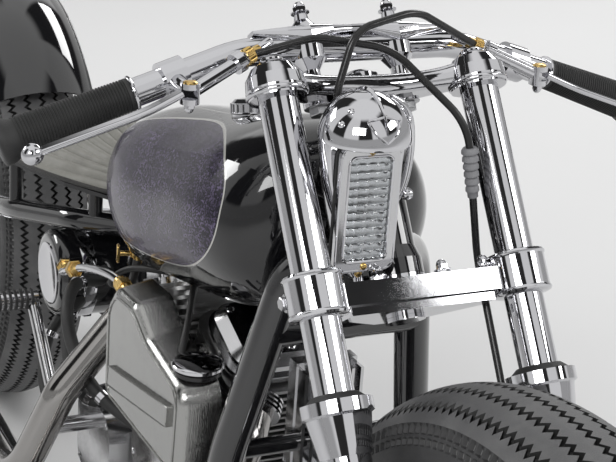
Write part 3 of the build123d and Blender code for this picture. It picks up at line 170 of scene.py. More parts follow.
def round_box(width, height, corner, steps=5):
    """The outline of a rectangle with rounded corners."""
    points = []
    for cx, cy, start in ((1, 1, 0), (-1, 1, 90), (-1, -1, 180), (1, -1, 270)):
        for k in range(steps + 1):
            a = radians(start + 90 * k / steps)
            points.append((cx * (width / 2 - corner) + corner * cos(a), cy * (height / 2 - corner) + corner * sin(a)))
    return points


def smooth_path(points, steps=8):
    """A smooth line through the points."""
    points = [Vector(p) for p in points]
    padded = [points[0] * 2 - points[1]] + points + [points[-1] * 2 - points[-2]]
    path = []
    for i in range(1, len(padded) - 2):
        a, b, c, d = padded[i - 1:i + 3]
        for k in range(steps):
            t = k / steps
            square, cube = (2 * a - 5 * b + 4 * c - d) * t * t, (3 * b - a - 3 * c + d) * t**3
            path.append(0.5 * (2 * b + (c - a) * t + square + cube))
    path.append(points[-1])
    return path


def ring_round(middle, side, across, radius, segments):
    turns = [2 * pi * k / segments for k in range(segments)]
    return [middle + side * radius * cos(turn) + across * radius * sin(turn) for turn in turns]


def swept(path, radii, segments=12, hint=UP):
    """A round bar along a path. radii is one radius or one for each point."""
    path = [Vector(p) for p in path]
    if not isinstance(radii, (list, tuple)):
        radii = [radii] * len(path)
    side = None
    rings = []
    for i, p in enumerate(path):
        way = (path[min(i + 1, len(path) - 1)] - path[max(i - 1, 0)]).normalized()
        if side is None:
            side = Vector(hint).cross(way)
            if side.length < 1e-3:
                side = AHEAD.cross(way)
        side = (side - way * side.dot(way)).normalized()
        rings.append(ring_round(p, side, way.cross(side), radii[i], segments))
    return rings_to_shape(rings)


def closed_hoop(path, radius, segments=10):
    """A round bar along a closed path."""
    count = len(path)
    rings = []
    for i, p in enumerate(path):
        way = (path[(i + 1) % count] - path[i - 1]).normalized()
        side = Vector((0.31, 0.17, 0.93)).cross(way).normalized()
        rings.append(ring_round(p, side, way.cross(side), radius, segments))
    rings.append(rings[0])
    return rings_to_shape(rings, caps=False)


def hex_bolt(origin, way, radius, height):
    """A hexagon head on its washer."""
    place = facing(origin, way)
    return joined([
        slab(hexagon(radius), height, place @ Matrix.Translation((0, 0, 1.2)), 0.7),
        turned([(radius * 1.35, 0), (radius * 1.35, 0.9), (radius * 1.25, 1.3), (0, 1.3)], place, 20),
    ])


def acorn_nut(origin, way, radius):
    """A hexagon nut with a domed end, on its washer."""
    place = facing(origin, way)
    dome = [(radius * 0.86, 0)]
    dome += [(radius * 0.86 * cos(radians(a)), radius * sin(radians(a))) for a in range(0, 91, 15)]
    return joined([
        turned([(radius * 1.3, 0), (radius * 1.3, 1.0), (radius, 1.4)], place, 20),
        slab(hexagon(radius), radius * 0.75, place @ Matrix.Translation((0, 0, 1.0)), 0.6),
        turned(dome, place @ Matrix.Translation((0, 0, radius * 0.75)), 20),
    ])


def slot_screw(origin, way, radius):
    """A domed screw head with a slot across it."""
    place = facing(origin, way)
    parts = [turned([(radius, 0), (radius, 0.8), (radius * 0.8, 1.6), (radius * 0.4, 2.0), (0, 2.1)], place, 18)]
    blade = round_box(radius * 1.5, radius * 0.28, radius * 0.1, 2)
    parts.append(slab(blade, 0.5, place @ Matrix.Translation((0, 0, 1.7)), 0.1))
    return joined(parts)


def add_object(name, data):
    made = bpy.data.objects.new(name, data)
    bpy.context.scene.collection.objects.link(made)
    return made


def piece(name, shape, body, finishes, crease=38.0, face_finish=None):
    """Make a named object from a shape that is laid out on the upright motorcycle."""
    mesh = bpy.data.meshes.new(name)
    mesh.from_pydata([tuple(p) for p in shape[0]], [], shape[1])
    mesh.validate()
    mesh.transform(ON_STAND)
    if not isinstance(finishes, (list, tuple)):
        finishes = [finishes]
    for each in finishes:
        mesh.materials.append(each)
    if face_finish is not None:
        mesh.polygons.foreach_set("material_index", face_finish)
    mesh.polygons.foreach_set("use_smooth", [True] * len(mesh.polygons))
    mesh.set_sharp_from_angle(angle=radians(crease))
    mesh.update()
    made = add_object(name, mesh)
    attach(made, body)
    return made


# Finishes: shared effects first, then a material for each surface


def effect(name, inputs, outputs):
    """A shader node group with named inputs and outputs."""
    tree = bpy.data.node_groups.new(name, "ShaderNodeTree")
    for label, kind, value in inputs:
        socket = tree.interface.new_socket(name=label, in_out="INPUT", socket_type=kind)
        socket.default_value = value
    for label, kind in outputs:
        tree.interface.new_socket(name=label, in_out="OUTPUT", socket_type=kind)
    return tree, tree.nodes.new("NodeGroupInput").outputs, tree.nodes.new("NodeGroupOutput").inputs


def node(tree, kind, inputs=(), **settings):
    """Add a node, set its options, and set or link its inputs."""
    made = tree.nodes.new(kind)
    for key, value in settings.items():
        setattr(made, key, value)
    for key, value in dict(inputs).items():
        if isinstance(value, bpy.types.NodeSocket):
            tree.links.new(value, made.inputs[key])
        else:
            made.inputs[key].default_value = value
    return made


def calc(tree, operation, a, b=0.0, c=0.0):
    return node(tree, "ShaderNodeMath", {0: a, 1: b, 2: c}, operation=operation).outputs[0]


def ramp(tree, value, low, high, to_low=0.0, to_high=1.0):
    """Map low..high smoothly to to_low..to_high."""
    ends = {"Value": value, "From Min": low, "From Max": high, "To Min": to_low, "To Max": to_high}
    return node(tree, "ShaderNodeMapRange", ends, interpolation_type="SMOOTHSTEP").outputs["Result"]


def blend_colour(tree, factor, a, b):
    return node(tree, "ShaderNodeMix", {"Factor": factor, 6: a, 7: b}, data_type="RGBA").outputs[2]


FLOAT, COLOUR = "NodeSocketFloat", "NodeSocketColor"

# Wipe marks and fine hairlines on polished metal and paint
WIPE, given, out = effect(
    "wipe marks", [("Smooth", FLOAT, 0.05), ("Dull", FLOAT, 0.14), ("Size", FLOAT, 9.0)],
    [("Roughness", FLOAT), ("Height", FLOAT)],
)
where = node(WIPE, "ShaderNodeTexCoord").outputs["Object"]
clouds = node(WIPE, "ShaderNodeTexNoise", {"Vector": where, "Scale": given["Size"], "Detail": 5.0, "Roughness": 0.6})
streaks = node(WIPE, "ShaderNodeTexNoise", {
    "Vector": node(WIPE, "ShaderNodeMapping", {"Vector": where, "Scale": (1.0, 7.0, 0.35)}).outputs[0],
    "Scale": 260.0, "Detail": 3.0,
})
broad = calc(WIPE, "MULTIPLY", clouds.outputs["Fac"], 0.75)
fine = calc(WIPE, "MULTIPLY", streaks.outputs["Fac"], 0.25)
marks = calc(WIPE, "ADD", broad, fine)
WIPE.links.new(ramp(WIPE, marks, 0.35, 0.68, given["Smooth"], given["Dull"]), out["Roughness"])
WIPE.links.new(streaks.outputs["Fac"], out["Height"])

# Cast or moulded surface: pits, a fine grain and darker stains where grime gathers
CAST, given, out = effect(
    "cast surface",
    [("Metal", COLOUR, (0.5, 0.5, 0.5, 1)), ("Stain", COLOUR, (0.1, 0.09, 0.08, 1)),
     ("Grain", FLOAT, 900.0), ("Dirt", FLOAT, 0.4)],
    [("Color", COLOUR), ("Roughness", FLOAT), ("Height", FLOAT)],
)
where = node(CAST, "ShaderNodeTexCoord").outputs["Object"]
grain = node(CAST, "ShaderNodeTexNoise", {"Vector": where, "Scale": given["Grain"], "Detail": 4.0})
patches = node(CAST, "ShaderNodeTexNoise", {"Vector": where, "Scale": 16.0, "Detail": 6.0, "Roughness": 0.7})
stained = calc(CAST, "MULTIPLY", ramp(CAST, patches.outputs["Fac"], 0.48, 0.72), given["Dirt"])
CAST.links.new(blend_colour(CAST, stained, given["Metal"], given["Stain"]), out["Color"])
CAST.links.new(ramp(CAST, patches.outputs["Fac"], 0.3, 0.7, 0.28, 0.5), out["Roughness"])
CAST.links.new(grain.outputs["Fac"], out["Height"])

# Vinyl and rubber: a pebbled grain with a faint bloom
GRAIN, given, out = effect(
    "pebbled grain",
    [("Colour", COLOUR, (0.5, 0.5, 0.5, 1)), ("Bloom", COLOUR, (0.6, 0.6, 0.6, 1)),
     ("Cells", FLOAT, 700.0), ("Amount", FLOAT, 0.5)],
    [("Color", COLOUR), ("Roughness", FLOAT), ("Height", FLOAT)],
)
where = node(GRAIN, "ShaderNodeTexCoord").outputs["Object"]
cells = node(GRAIN, "ShaderNodeTexVoronoi", {"Vector": where, "Scale": given["Cells"]}, feature="DISTANCE_TO_EDGE")
cloud = node(GRAIN, "ShaderNodeTexNoise", {"Vector": where, "Scale": 22.0, "Detail": 6.0, "Roughness": 0.65})
faded = calc(GRAIN, "MULTIPLY", ramp(GRAIN, cloud.outputs["Fac"], 0.38, 0.7), given["Amount"])
GRAIN.links.new(blend_colour(GRAIN, faded, given["Colour"], given["Bloom"]), out["Color"])
GRAIN.links.new(ramp(GRAIN, cloud.outputs["Fac"], 0.3, 0.7, 0.42, 0.62), out["Roughness"])
GRAIN.links.new(ramp(GRAIN, cells.outputs["Distance"], 0.0, 0.25), out["Height"])

# Metal flakes under lacquer
FLAKE, given, out = effect(
    "metal flake",
    [("Deep", COLOUR, (0.010, 0.008, 0.017, 1)), ("Bright", COLOUR, (0.14, 0.11, 0.20, 1)), ("Flakes", FLOAT, 620.0)],
    [("Color", COLOUR), ("Height", FLOAT)],
)
where = node(FLAKE, "ShaderNodeTexCoord").outputs["Object"]
cells = node(FLAKE, "ShaderNodeTexVoronoi", {"Vector": where, "Scale": given["Flakes"], "Randomness": 1.0})
chosen = node(FLAKE, "ShaderNodeSeparateColor", {"Color": cells.outputs["Color"]})
cloud = node(FLAKE, "ShaderNodeTexNoise", {"Vector": where, "Scale": 26.0, "Detail": 5.0, "Roughness": 0.7})
bright_cells = ramp(FLAKE, chosen.outputs["Red"], 0.45, 0.98)
sparkle = calc(FLAKE, "MULTIPLY", bright_cells, ramp(FLAKE, cloud.outputs["Fac"], 0.3, 0.68, 0.35, 1.0))
FLAKE.links.new(blend_colour(FLAKE, sparkle, given["Deep"], given["Bright"]), out["Color"])
FLAKE.links.new(chosen.outputs["Green"], out["Height"])

# The tank's side panel with its pinstripe, drawn on the upright motorcycle in millimetres
PANEL, given, out = effect(
    "tank panel",
    [("Middle X", FLOAT, 148.0), ("Middle Z", FLOAT, 650.6), ("Length", FLOAT, 227.0), ("Height", FLOAT, 70.0),
     ("Slope", FLOAT, 0.2), ("Taper", FLOAT, 0.15), ("Stripe", FLOAT, 0.0095)],
    [("Panel", FLOAT), ("Stripe", FLOAT)],
)
where = node(PANEL, "ShaderNodeMapping", {
    "Vector": node(PANEL, "ShaderNodeTexCoord").outputs["Object"],
    "Scale": (1000.0, 1000.0, 1000.0),
    "Rotation": (LEAN, 0.0, 0.0),
    "Location": tuple(-(LEANED.inverted() @ SHIFT)),
})
axes = node(PANEL, "ShaderNodeSeparateXYZ", {"Vector": where.outputs[0]})
along = calc(PANEL, "DIVIDE", calc(PANEL, "SUBTRACT", axes.outputs["X"], given["Middle X"]), given["Length"])
level = calc(PANEL, "SUBTRACT", axes.outputs["Z"], given["Middle Z"])
sloped = calc(PANEL, "MULTIPLY", calc(PANEL, "MULTIPLY", along, given["Length"]), given["Slope"])
level = calc(PANEL, "SUBTRACT", level, sloped)
tall = calc(PANEL, "MULTIPLY", given["Height"], calc(PANEL, "ADD", 1.0, calc(PANEL, "MULTIPLY", along, given["Taper"])))
rise = calc(PANEL, "DIVIDE", level, tall)
PANEL_SQUARENESS = 2.5  # 2 draws an ellipse, more squares its corners
far_along = calc(PANEL, "POWER", calc(PANEL, "ABSOLUTE", along), PANEL_SQUARENESS)
far_up = calc(PANEL, "POWER", calc(PANEL, "ABSOLUTE", rise), PANEL_SQUARENESS)
reach = calc(PANEL, "POWER", calc(PANEL, "ADD", far_along, far_up), 1 / PANEL_SQUARENESS)
PANEL.links.new(ramp(PANEL, reach, 0.995, 1.005, 1.0, 0.0), out["Panel"])
ring = calc(PANEL, "ABSOLUTE", calc(PANEL, "SUBTRACT", reach, 1.0))
near_end = calc(PANEL, "POWER", calc(PANEL, "ABSOLUTE", along), 4.0)
wide = calc(PANEL, "SUBTRACT", 1.0, calc(PANEL, "MULTIPLY", near_end, 0.62))
border = calc(PANEL, "LESS_THAN", ring, calc(PANEL, "MULTIPLY", given["Stripe"], wide))
# a second thin line runs along each side of the tank's crown
crown_half = calc(PANEL, "MULTIPLY_ADD", along, 6.0, 20.0)
beside = calc(PANEL, "SUBTRACT", calc(PANEL, "ABSOLUTE", axes.outputs["Y"]), crown_half)
crown = calc(PANEL, "LESS_THAN", calc(PANEL, "ABSOLUTE", beside), 1.1)
crown = calc(PANEL, "MULTIPLY", crown, calc(PANEL, "GREATER_THAN", rise, 0.75))
crown = calc(PANEL, "MULTIPLY", crown, calc(PANEL, "LESS_THAN", calc(PANEL, "ABSOLUTE", along), 0.96))
PANEL.links.new(calc(PANEL, "MAXIMUM", border, crown), out["Stripe"])


def new_finish(name, colour, metallic, roughness, **more):
    """A material with its surface shader, ready for the effects that shape it."""
    made = bpy.data.materials.new(name)
    made.use_nodes = True
    tree = made.node_tree
    surface = tree.nodes["Principled BSDF"]
    surface.inputs["Base Color"].default_value = (*colour, 1)
    surface.inputs["Metallic"].default_value = metallic
    surface.inputs["Roughness"].default_value = roughness
    for key, value in more.items():
        surface.inputs[key.replace("_", " ")].default_value = value
    made.diffuse_color = (*colour, 1)
    return made, tree, surface


def place_effect(tree, effect_tree, values):
    return node(tree, "ShaderNodeGroup", values, node_tree=effect_tree).outputs


def add_bump(tree, surface, height, strength, distance):
    bump = node(tree, "ShaderNodeBump", {"Height": height, "Strength": strength, "Distance": distance})
    tree.links.new(bump.outputs[0], surface.inputs["Normal"])


def textured(name, colour, metallic, roughness, effect_tree, values, bump, distance, **more):
    """A material whose colour, gloss and grain come from a shared effect."""
    made, tree, surface = new_finish(name, colour, metallic, roughness, **more)
    look = place_effect(tree, effect_tree, values)
    for source, target in (("Color", "Base Color"), ("Roughness", "Roughness")):
        if source in look:
            tree.links.new(look[source], surface.inputs[target])
    add_bump(tree, surface, look["Height"], bump, distance)
    return made


def polished(name, colour, smooth, dull, size=9.0, metallic=1.0, bump=0.02, **more):
    """Plated, polished or painted: wipe marks vary its gloss."""
    values = {"Smooth": smooth, "Dull": dull, "Size": size}
    return textured(name, colour, metallic, smooth, WIPE, values, bump, 0.0002, **more)


def cast(name, metal, stain, grain, dirt, bump=0.25):
    values = {"Metal": (*metal, 1), "Stain": (*stain, 1), "Grain": grain, "Dirt": dirt}
    return textured(name, metal, 1.0, 0.4, CAST, values, bump, 0.0004)


def grained(name, colour, bloom, cell_size, amount, bump=0.3):
    values = {"Colour": (*colour, 1), "Bloom": (*bloom, 1), "Cells": cell_size, "Amount": amount}
    return textured(name, colour, 0.0, 0.5, GRAIN, values, bump, 0.0003)


CHROME = polished("mirror chrome", (0.60, 0.60, 0.62), 0.02, 0.09)
ALLOY = polished("polished alloy", (0.58, 0.58, 0.59), 0.09, 0.22, size=14.0, bump=0.06)
STEEL = polished("machined steel", (0.46, 0.46, 0.47), 0.24, 0.40, size=20.0, bump=0.12)
BRASS = polished("aged brass", (0.62, 0.43, 0.16), 0.16, 0.34, size=40.0, bump=0.05)
BLACK_PAINT = polished(
    "gloss black paint", (0.006, 0.006, 0.007), 0.03, 0.09, metallic=0.0, Coat_Weight=1.0, Coat_Roughness=0.02
)
BLACK_METAL = polished("black enamel", (0.012, 0.012, 0.013), 0.14, 0.30, metallic=0.0, bump=0.05)
RIM_CHROME = polished("rim chrome", (0.58, 0.58, 0.60), 0.05, 0.16, size=30.0)
HOUSING_ALLOY = polished("buffed housing alloy", (0.38, 0.38, 0.37), 0.10, 0.26, size=26.0, bump=0.9)
EXHAUST_CHROME = polished("pipe chrome", (0.34, 0.33, 0.32), 0.07, 0.22, size=7.0)
TAIL_RED = polished("red lens", (0.36, 0.008, 0.008), 0.06, 0.14, metallic=0.0, Coat_Weight=0.6, Coat_Roughness=0.03)
CAST_ALLOY = cast("cast alloy", (0.40, 0.40, 0.40), (0.12, 0.11, 0.10), 900.0, 0.45)
FIN_ALLOY = cast("finned alloy", (0.34, 0.34, 0.34), (0.10, 0.095, 0.09), 1100.0, 0.6)
CHAIN_STEEL = cast("oiled chain steel", (0.22, 0.21, 0.20), (0.03, 0.026, 0.02), 1500.0, 0.8, bump=0.15)
TREAD_RUBBER = grained("tread rubber", (0.085, 0.085, 0.087), (0.15, 0.15, 0.15), 900.0, 0.7, bump=0.5)
# Groove rubber: unworn black rubber, painted darker than the side wall as shade in the grooves
SHADED_GROOVE_RUBBER = grained("groove rubber with painted shade", (0.008, 0.008, 0.008), (0.02, 0.02, 0.02), 900.0, 0.5)
SIDEWALL_RUBBER = grained("side wall rubber", (0.022, 0.022, 0.023), (0.05, 0.05, 0.05), 1200.0, 0.6)
# Notch floors are a lighter grey than the side wall
NOTCH_RUBBER = grained("lighter notch floor rubber", (0.17, 0.17, 0.17), (0.24, 0.24, 0.24), 900.0, 0.5)
BLACK_RUBBER = grained("black rubber", (0.014, 0.014, 0.014), (0.04, 0.04, 0.04), 1400.0, 0.5)
HOSE_RUBBER = grained("hose rubber", (0.012, 0.012, 0.012), (0.035, 0.035, 0.035), 1600.0, 0.5, bump=0.15)
GREY_BOOT = grained("grey rubber boot", (0.20, 0.20, 0.21), (0.30, 0.30, 0.31), 1400.0, 0.5)
SEAT_VINYL = grained("pale pleated vinyl", (0.215, 0.212, 0.19), (0.16, 0.157, 0.14), 520.0, 0.6, bump=0.35)
SEAT_BAND = grained("black seat vinyl", (0.022, 0.021, 0.020), (0.05, 0.048, 0.045), 520.0, 0.5, bump=0.35)
SHEATH = polished("cable sheath", (0.012, 0.012, 0.012), 0.22, 0.38, metallic=0.0, bump=0.05)

# The tank's paint: gloss black with a metalflake panel and a silver pinstripe round it
TANK_PAINT, tree, surface = new_finish("tank paint", (0.006, 0.006, 0.007), 0.0, 0.06, Coat_Roughness=0.02)
masks = place_effect(tree, PANEL, {})
flakes = place_effect(tree, FLAKE, {})
colour = blend_colour(tree, masks["Panel"], (0.006, 0.006, 0.007, 1), flakes["Color"])
tree.links.new(blend_colour(tree, masks["Stripe"], colour, (0.46, 0.455, 0.43, 1)), surface.inputs["Base Color"])
tree.links.new(calc(tree, "MULTIPLY", masks["Panel"], 0.12), surface.inputs["Metallic"])
tree.links.new(calc(tree, "SUBTRACT", 1.0, calc(tree, "MULTIPLY", masks["Panel"], 0.72)), surface.inputs["Coat Weight"])
surface.inputs["Specular IOR Level"].default_value = 0.2
wipes = place_effect(tree, WIPE, {"Smooth": 0.05, "Dull": 0.12})
duller = calc(tree, "MULTIPLY", masks["Panel"], 0.15)
tree.links.new(calc(tree, "ADD", wipes["Roughness"], duller), surface.inputs["Roughness"])
add_bump(tree, surface, calc(tree, "MULTIPLY", flakes["Height"], masks["Panel"]), 0.35, 0.0003)

# Clear ribbed glass
LAMP_GLASS = textured(
    "lamp glass", (0.93, 0.95, 0.96), 0.0, 0.03, WIPE, {"Smooth": 0.01, "Dull": 0.05, "Size": 40.0}, 0.02, 0.0002,
    IOR=1.5, Transmission_Weight=1.0,
)

NODE_FINISHES = {
    "front_wheel": RIM_CHROME, "rear_wheel": RIM_CHROME, "front_brake_plate": ALLOY, "rear_brake_plate": ALLOY,
    "front_axle": STEEL, "rear_axle": STEEL, "fork_tubes": CHROME, "fork_legs": CHROME, "dust_seals": BLACK_RUBBER,
    "lower_yoke": CHROME, "steering_stem": CHROME, "upper_yoke": CHROME, "handlebar": CHROME, "risers": CHROME,
    "bar_clamp": CHROME, "control_perches": CHROME, "levers": CHROME, "headlamp_bezel": ALLOY, "lamp_bracket": CHROME,
    "brake_cable": SHEATH, "clutch_cable_upper": SHEATH, "clutch_cable_lower": SHEATH, "steering_head": BLACK_PAINT,
    "backbone": BLACK_PAINT, "axle_plates": BLACK_PAINT, "cradle_left": BLACK_PAINT, "cradle_right": BLACK_PAINT,
    "cross_tubes": BLACK_PAINT, "upper_stays": BLACK_PAINT, "fuel_tank": TANK_PAINT, "fuel_cap": CHROME,
    "seat_pan": BLACK_METAL, "rear_mudguard": BLACK_PAINT, "tail_lamp": TAIL_RED, "crankcase": CAST_ALLOY,
    "cylinders": FIN_ALLOY, "cylinder_heads": FIN_ALLOY, "rocker_boxes": ALLOY, "timing_cover": ALLOY,
    "pushrod_tubes": CHROME, "side_cover": HOUSING_ALLOY, "regulator": ALLOY, "exhaust_pipes": EXHAUST_CHROME,
    "primary_cover": ALLOY, "gearbox": CAST_ALLOY, "kick_starter": ALLOY, "oil_tank": BLACK_PAINT,
    "rear_sprocket": STEEL, "foot_pegs": BLACK_RUBBER, "pedals": CHROME, "side_stand": BLACK_METAL,
    "front_tyre": SIDEWALL_RUBBER, "rear_tyre": SIDEWALL_RUBBER, "grips": BLACK_RUBBER, "seat": SEAT_VINYL,
    "headlamp_body": CHROME, "headlamp_lens": LAMP_GLASS, "drive_chain": CHAIN_STEEL,
}
for label, finish in NODE_FINISHES.items():
    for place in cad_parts[label].material_slots:
        place.material = finish


# Tyres: saw-tooth ribs round the crown, two rows of notches on each shoulder; the grooves' rubber is darkened as
# painted shade

TYRE_RADIUS = 333.9
CROWN = 75.0
CUT = 6.0  # depth of the grooves
BEAD_ACROSS, BEAD_RADIUS = 39.7, 220.3


def circle_through(a, b, c):
    """Centre and radius of the circle through three points of a plane."""
    (ax, ay), (bx, by), (cx, cy) = a, b, c
    d = 2 * (ax * (by - cy) + bx * (cy - ay) + cx * (ay - by))
    ux = ((ax**2 + ay**2) * (by - cy) + (bx**2 + by**2) * (cy - ay) + (cx**2 + cy**2) * (ay - by)) / d
    uy = ((ax**2 + ay**2) * (cx - bx) + (bx**2 + by**2) * (ax - cx) + (cx**2 + cy**2) * (bx - ax)) / d
    return ux, uy, hypot(ax - ux, ay - uy)


def crown_radius(across):
    """The radius of the tyre's crown at a place across it."""
    return TYRE_RADIUS - (CROWN - np.sqrt(CROWN**2 - across**2))


def vintage_tyre(name, axle, body, replaced):
    teeth, steps = 184, 4
    columns = teeth * steps
    shoulder = 56.0
    shoulder_radius = crown_radius(shoulder)
    ux, uy, wall = circle_through(
        (shoulder, shoulder_radius), (64.0, TYRE_RADIUS - 60), (BEAD_ACROSS, BEAD_RADIUS)
    )
    start = atan2(shoulder_radius - uy, shoulder - ux)
    end = atan2(BEAD_RADIUS - uy, BEAD_ACROSS - ux)
    # half of the section from the middle outwards:
    # place across, zigzag share, depth of cut, finish of the strip after it
    RIB, GROOVE, WALL_SIDE, NOTCH = range(4)
    half = [(0.0, 1, CUT, GROOVE), (2.0, 1, CUT, GROOVE), (2.7, 1, 0.0, RIB), (10.7, 0, 0.0, RIB)]
    for middle in (21.5, 43.0):
        half += [(middle - 2.7, 1, 0.0, GROOVE), (middle - 2.0, 1, CUT, GROOVE)]
        half += [(middle + 2.0, 1, CUT, GROOVE), (middle + 2.7, 1, 0.0, RIB)]
        if middle < 40:
            half += [(middle + 10.7, 0, 0.0, RIB)]
    half += [(50.5, 0, 0.0, RIB), (54.5, 0, 0.0, RIB)]
    columns_turn = np.arange(columns)
    wave = np.array([-3.1, 0.0, 3.1, 0.0])[columns_turn % steps]
    notch = np.array([1.0, 1.0, 0.0, 0.0])[columns_turn % steps]
    rows, strips, row_notch = [], [], []
    for across, zig, depth, strip in half:
        y = across + zig * wave
        rows.append((y, crown_radius(y) - depth))
        strips.append(strip)
        row_notch.append(0)
    # down the side wall: share of the arc, cut of the notches, push outwards for moulded rings
    WALL = [
        (0.0, 0, 0), (0.035, 3.2, 0), (0.085, 3.2, 0), (0.10, 0, 0), (0.125, 0, 0),
        (0.14, 2.6, 0), (0.185, 2.6, 0), (0.20, 0, 0), (0.27, 0, 0), (0.36, 0, 0), (0.45, 0, 0),
        (0.54, 0, 0), (0.62, 0, 0), (0.635, 0, 1.1), (0.665, 0, 1.1), (0.68, 0, 0),
        (0.76, 0, 0), (0.775, 0, 0.9), (0.80, 0, 0.9), (0.815, 0, 0), (0.9, 0, 0), (1.0, 0, 0),
    ]
    for share, cut, push in WALL:
        a = start + (end - start) * share
        reach = wall - cut * notch + push
        rows.append((ux + reach * cos(a), uy + reach * sin(a)))
        strips.append(WALL_SIDE)
        row_notch.append(1 if cut else 0)
    rows.append((np.full(columns, BEAD_ACROSS), np.full(columns, BEAD_RADIUS - 6.0)))
    strips.append(WALL_SIDE)
    row_notch.append(0)
    ys, radii, kinds, cuts = [], [], [], []
    for i in range(len(rows) - 1, 0, -1):
        mirrored = -np.broadcast_to(rows[i][0], columns)
        zigzag = i < len(half) and half[i][1]
        ys.append(mirrored + 2 * wave if zigzag else mirrored)
        radii.append(crown_radius(ys[-1]) - half[i][2] if zigzag else np.broadcast_to(rows[i][1], columns))
        kinds.append(strips[i - 1])
        cuts.append(row_notch[i])
    for i in range(len(rows)):
        ys.append(np.broadcast_to(rows[i][0], columns))
        radii.append(np.broadcast_to(rows[i][1], columns))
        kinds.append(strips[i])
        cuts.append(row_notch[i])
    ys, radii = np.array(ys), np.array(radii)
    turn = 2 * pi * columns_turn / columns
    points = [axle.x + radii * np.cos(turn), axle.y + ys, axle.z + radii * np.sin(turn)]
    points = np.stack(points, axis=-1).reshape(-1, 3)
    count = len(ys)
    faces, finish = [], []
    for r in range(count):
        s = (r + 1) % count
        for c in range(columns):
            d = (c + 1) % columns
            faces.append((r * columns + c, r * columns + d, s * columns + d, s * columns + c))
            kind = WALL_SIDE if r == count - 1 else kinds[r]
            # the notch floors take the lighter grey notch rubber
            if kind == WALL_SIDE and cuts[r] and cuts[s] and notch[c] and notch[d]:
                kind = NOTCH
            finish.append(kind)
    # the groove faces carry painted shade: their rubber is darker than the side wall's
    rubbers = [TREAD_RUBBER, SHADED_GROOVE_RUBBER, SIDEWALL_RUBBER, NOTCH_RUBBER]
    made = piece(name, (points, faces), body, rubbers, 32, finish)
    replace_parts(made, replaced)


vintage_tyre("front_tyre_ribbed", FRONT_AXLE, "front_wheel", "front_tyre")
vintage_tyre("rear_tyre_ribbed", REAR_AXLE, "rear_wheel", "rear_tyre")

# Wheels: spoke nipples and valve stems

DRUM_REACH, HUB_REACH, NIPPLE_REACH = 77.0, 40.0, 198.0
for label, axle, drum_side in (("front", FRONT_AXLE, 1), ("rear", REAR_AXLE, -1)):
    shapes = []
    for side in BOTH_SIDES:
        for count in range(18):
            turn = 20.0 * (count + 0.25 * side)
            reach = DRUM_REACH if side == drum_side else HUB_REACH
            lace = (34.0 if count % 2 else -34.0) * 44.0 / reach
            hub_end = round_from(axle, reach, turn + lace, side * 36.0)
            rim_end = round_from(axle, NIPPLE_REACH, turn, side * 12.0)
            way = (hub_end - rim_end).normalized()
            shapes.append(turned([(3.6, 2), (3.6, 6), (2.9, 7), (2.7, 17), (2.1, 18)], facing(rim_end, way), 8))
    piece(f"{label}_spoke_nipples", joined(shapes), f"{label}_wheel", STEEL)
    foot, tip = round_from(axle, 195, 5), round_from(axle, 160, 5)
    stem = joined([rod(foot, tip, 3.2, 12), rod(foot, foot + (tip - foot) * 0.16, 6.0, 6)])
    piece(f"{label}_valve", stem, f"{label}_wheel", BRASS)

# Grips: fine rings of rubber, with a flange at the open end

BAR_CENTRE = fork_point(656.0, -40.0)
bar_end = BAR_CENTRE + Vector((-3, -320, -70))
bar_bend = BAR_CENTRE + Vector((4, -205, -30))
bar_way = (bar_end - bar_bend).normalized()
grip_end = bar_end + bar_way * 6
profile = [(0, 0), (16.5, 0), (19.6, 1.6), (20.4, 4), (20.4, 7.5), (19.8, 10), (18.2, 14)]
level = 18.0
while level < 116:
    reach = 18.0 - 3.2 * (level - 18.0) / 100.0
    profile += [(reach - 1.3, level), (reach - 1.3, level + 0.7), (reach, level + 1.2), (reach, level + 2.0)]
    level += 2.7
profile += [(13.6, 117.6), (14.7, 118), (14.7, 121.4), (14, 122), (12.8, 122)]
shapes = []
for side in BOTH_SIDES:
    flip = Vector((1, -side, 1))
    shapes.append(turned(profile, facing(grip_end * flip, bar_way * flip * -1), 40))
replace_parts(piece("ribbed_grips", joined(shapes), "steering", BLACK_RUBBER, 50), "grips")

# Headlamp: a smooth teardrop shell with a domed brow over the glass

LAMP_FACE = Vector((536.0, -47.0, 766.5))
LAMP_HALF_WIDTH, DOME_UP, LAMP_DROP = 39.0, 44.5, 128.0
DOME_RADIUS = 40.5


def lamp_outline(scale, lift, steps=56):
    """The teardrop seen from ahead, as (side, height) round the lamp's middle."""
    points = []
    for k in range(steps):
        a = 2 * pi * k / steps
        s, c = sin(a), cos(a)
        if c >= 0:
            side, height = LAMP_HALF_WIDTH * s, DOME_UP + LAMP_HALF_WIDTH * c
        else:
            drop = -c
            side = LAMP_HALF_WIDTH * s * (1 - 0.30 * drop**1.5)
            height = DOME_UP - LAMP_DROP * drop**1.15
        points.append((side * scale, height * scale + lift))
    return points


rings = []
SHELL = [
    (-0.1, 0.86, 0), (0.2, 0.90, 0), (-1.2, 0.945, 0), (-3.6, 0.975, 0), (-8, 0.995, 0), (-12, 1.0, 0), (-18, 0.98, 1),
    (-26, 0.90, 6), (-34, 0.77, 14), (-41, 0.62, 22), (-45, 0.50, 27), (-46.5, 0.30, 32), (-46.8, 0.02, 36),
]
for ahead, scale, lift in SHELL:
    rings.append([LAMP_FACE + Vector((ahead, side, height)) for side, height in lamp_outline(scale, lift)])
shell = rings_to_shape(rings)
dome_middle = Vector((528.0, -47.0, 811.0))
brow = [(36.0, -1.6), (38.6, -2.4), (40.2, -1.6), (40.6, 0.4)]
brow += [(DOME_RADIUS * cos(radians(a)), DOME_RADIUS * sin(radians(a))) for a in range(4, 89, 6)]
brow += [(0, DOME_RADIUS)]
dome = turned(brow, facing(dome_middle, UP), 56)
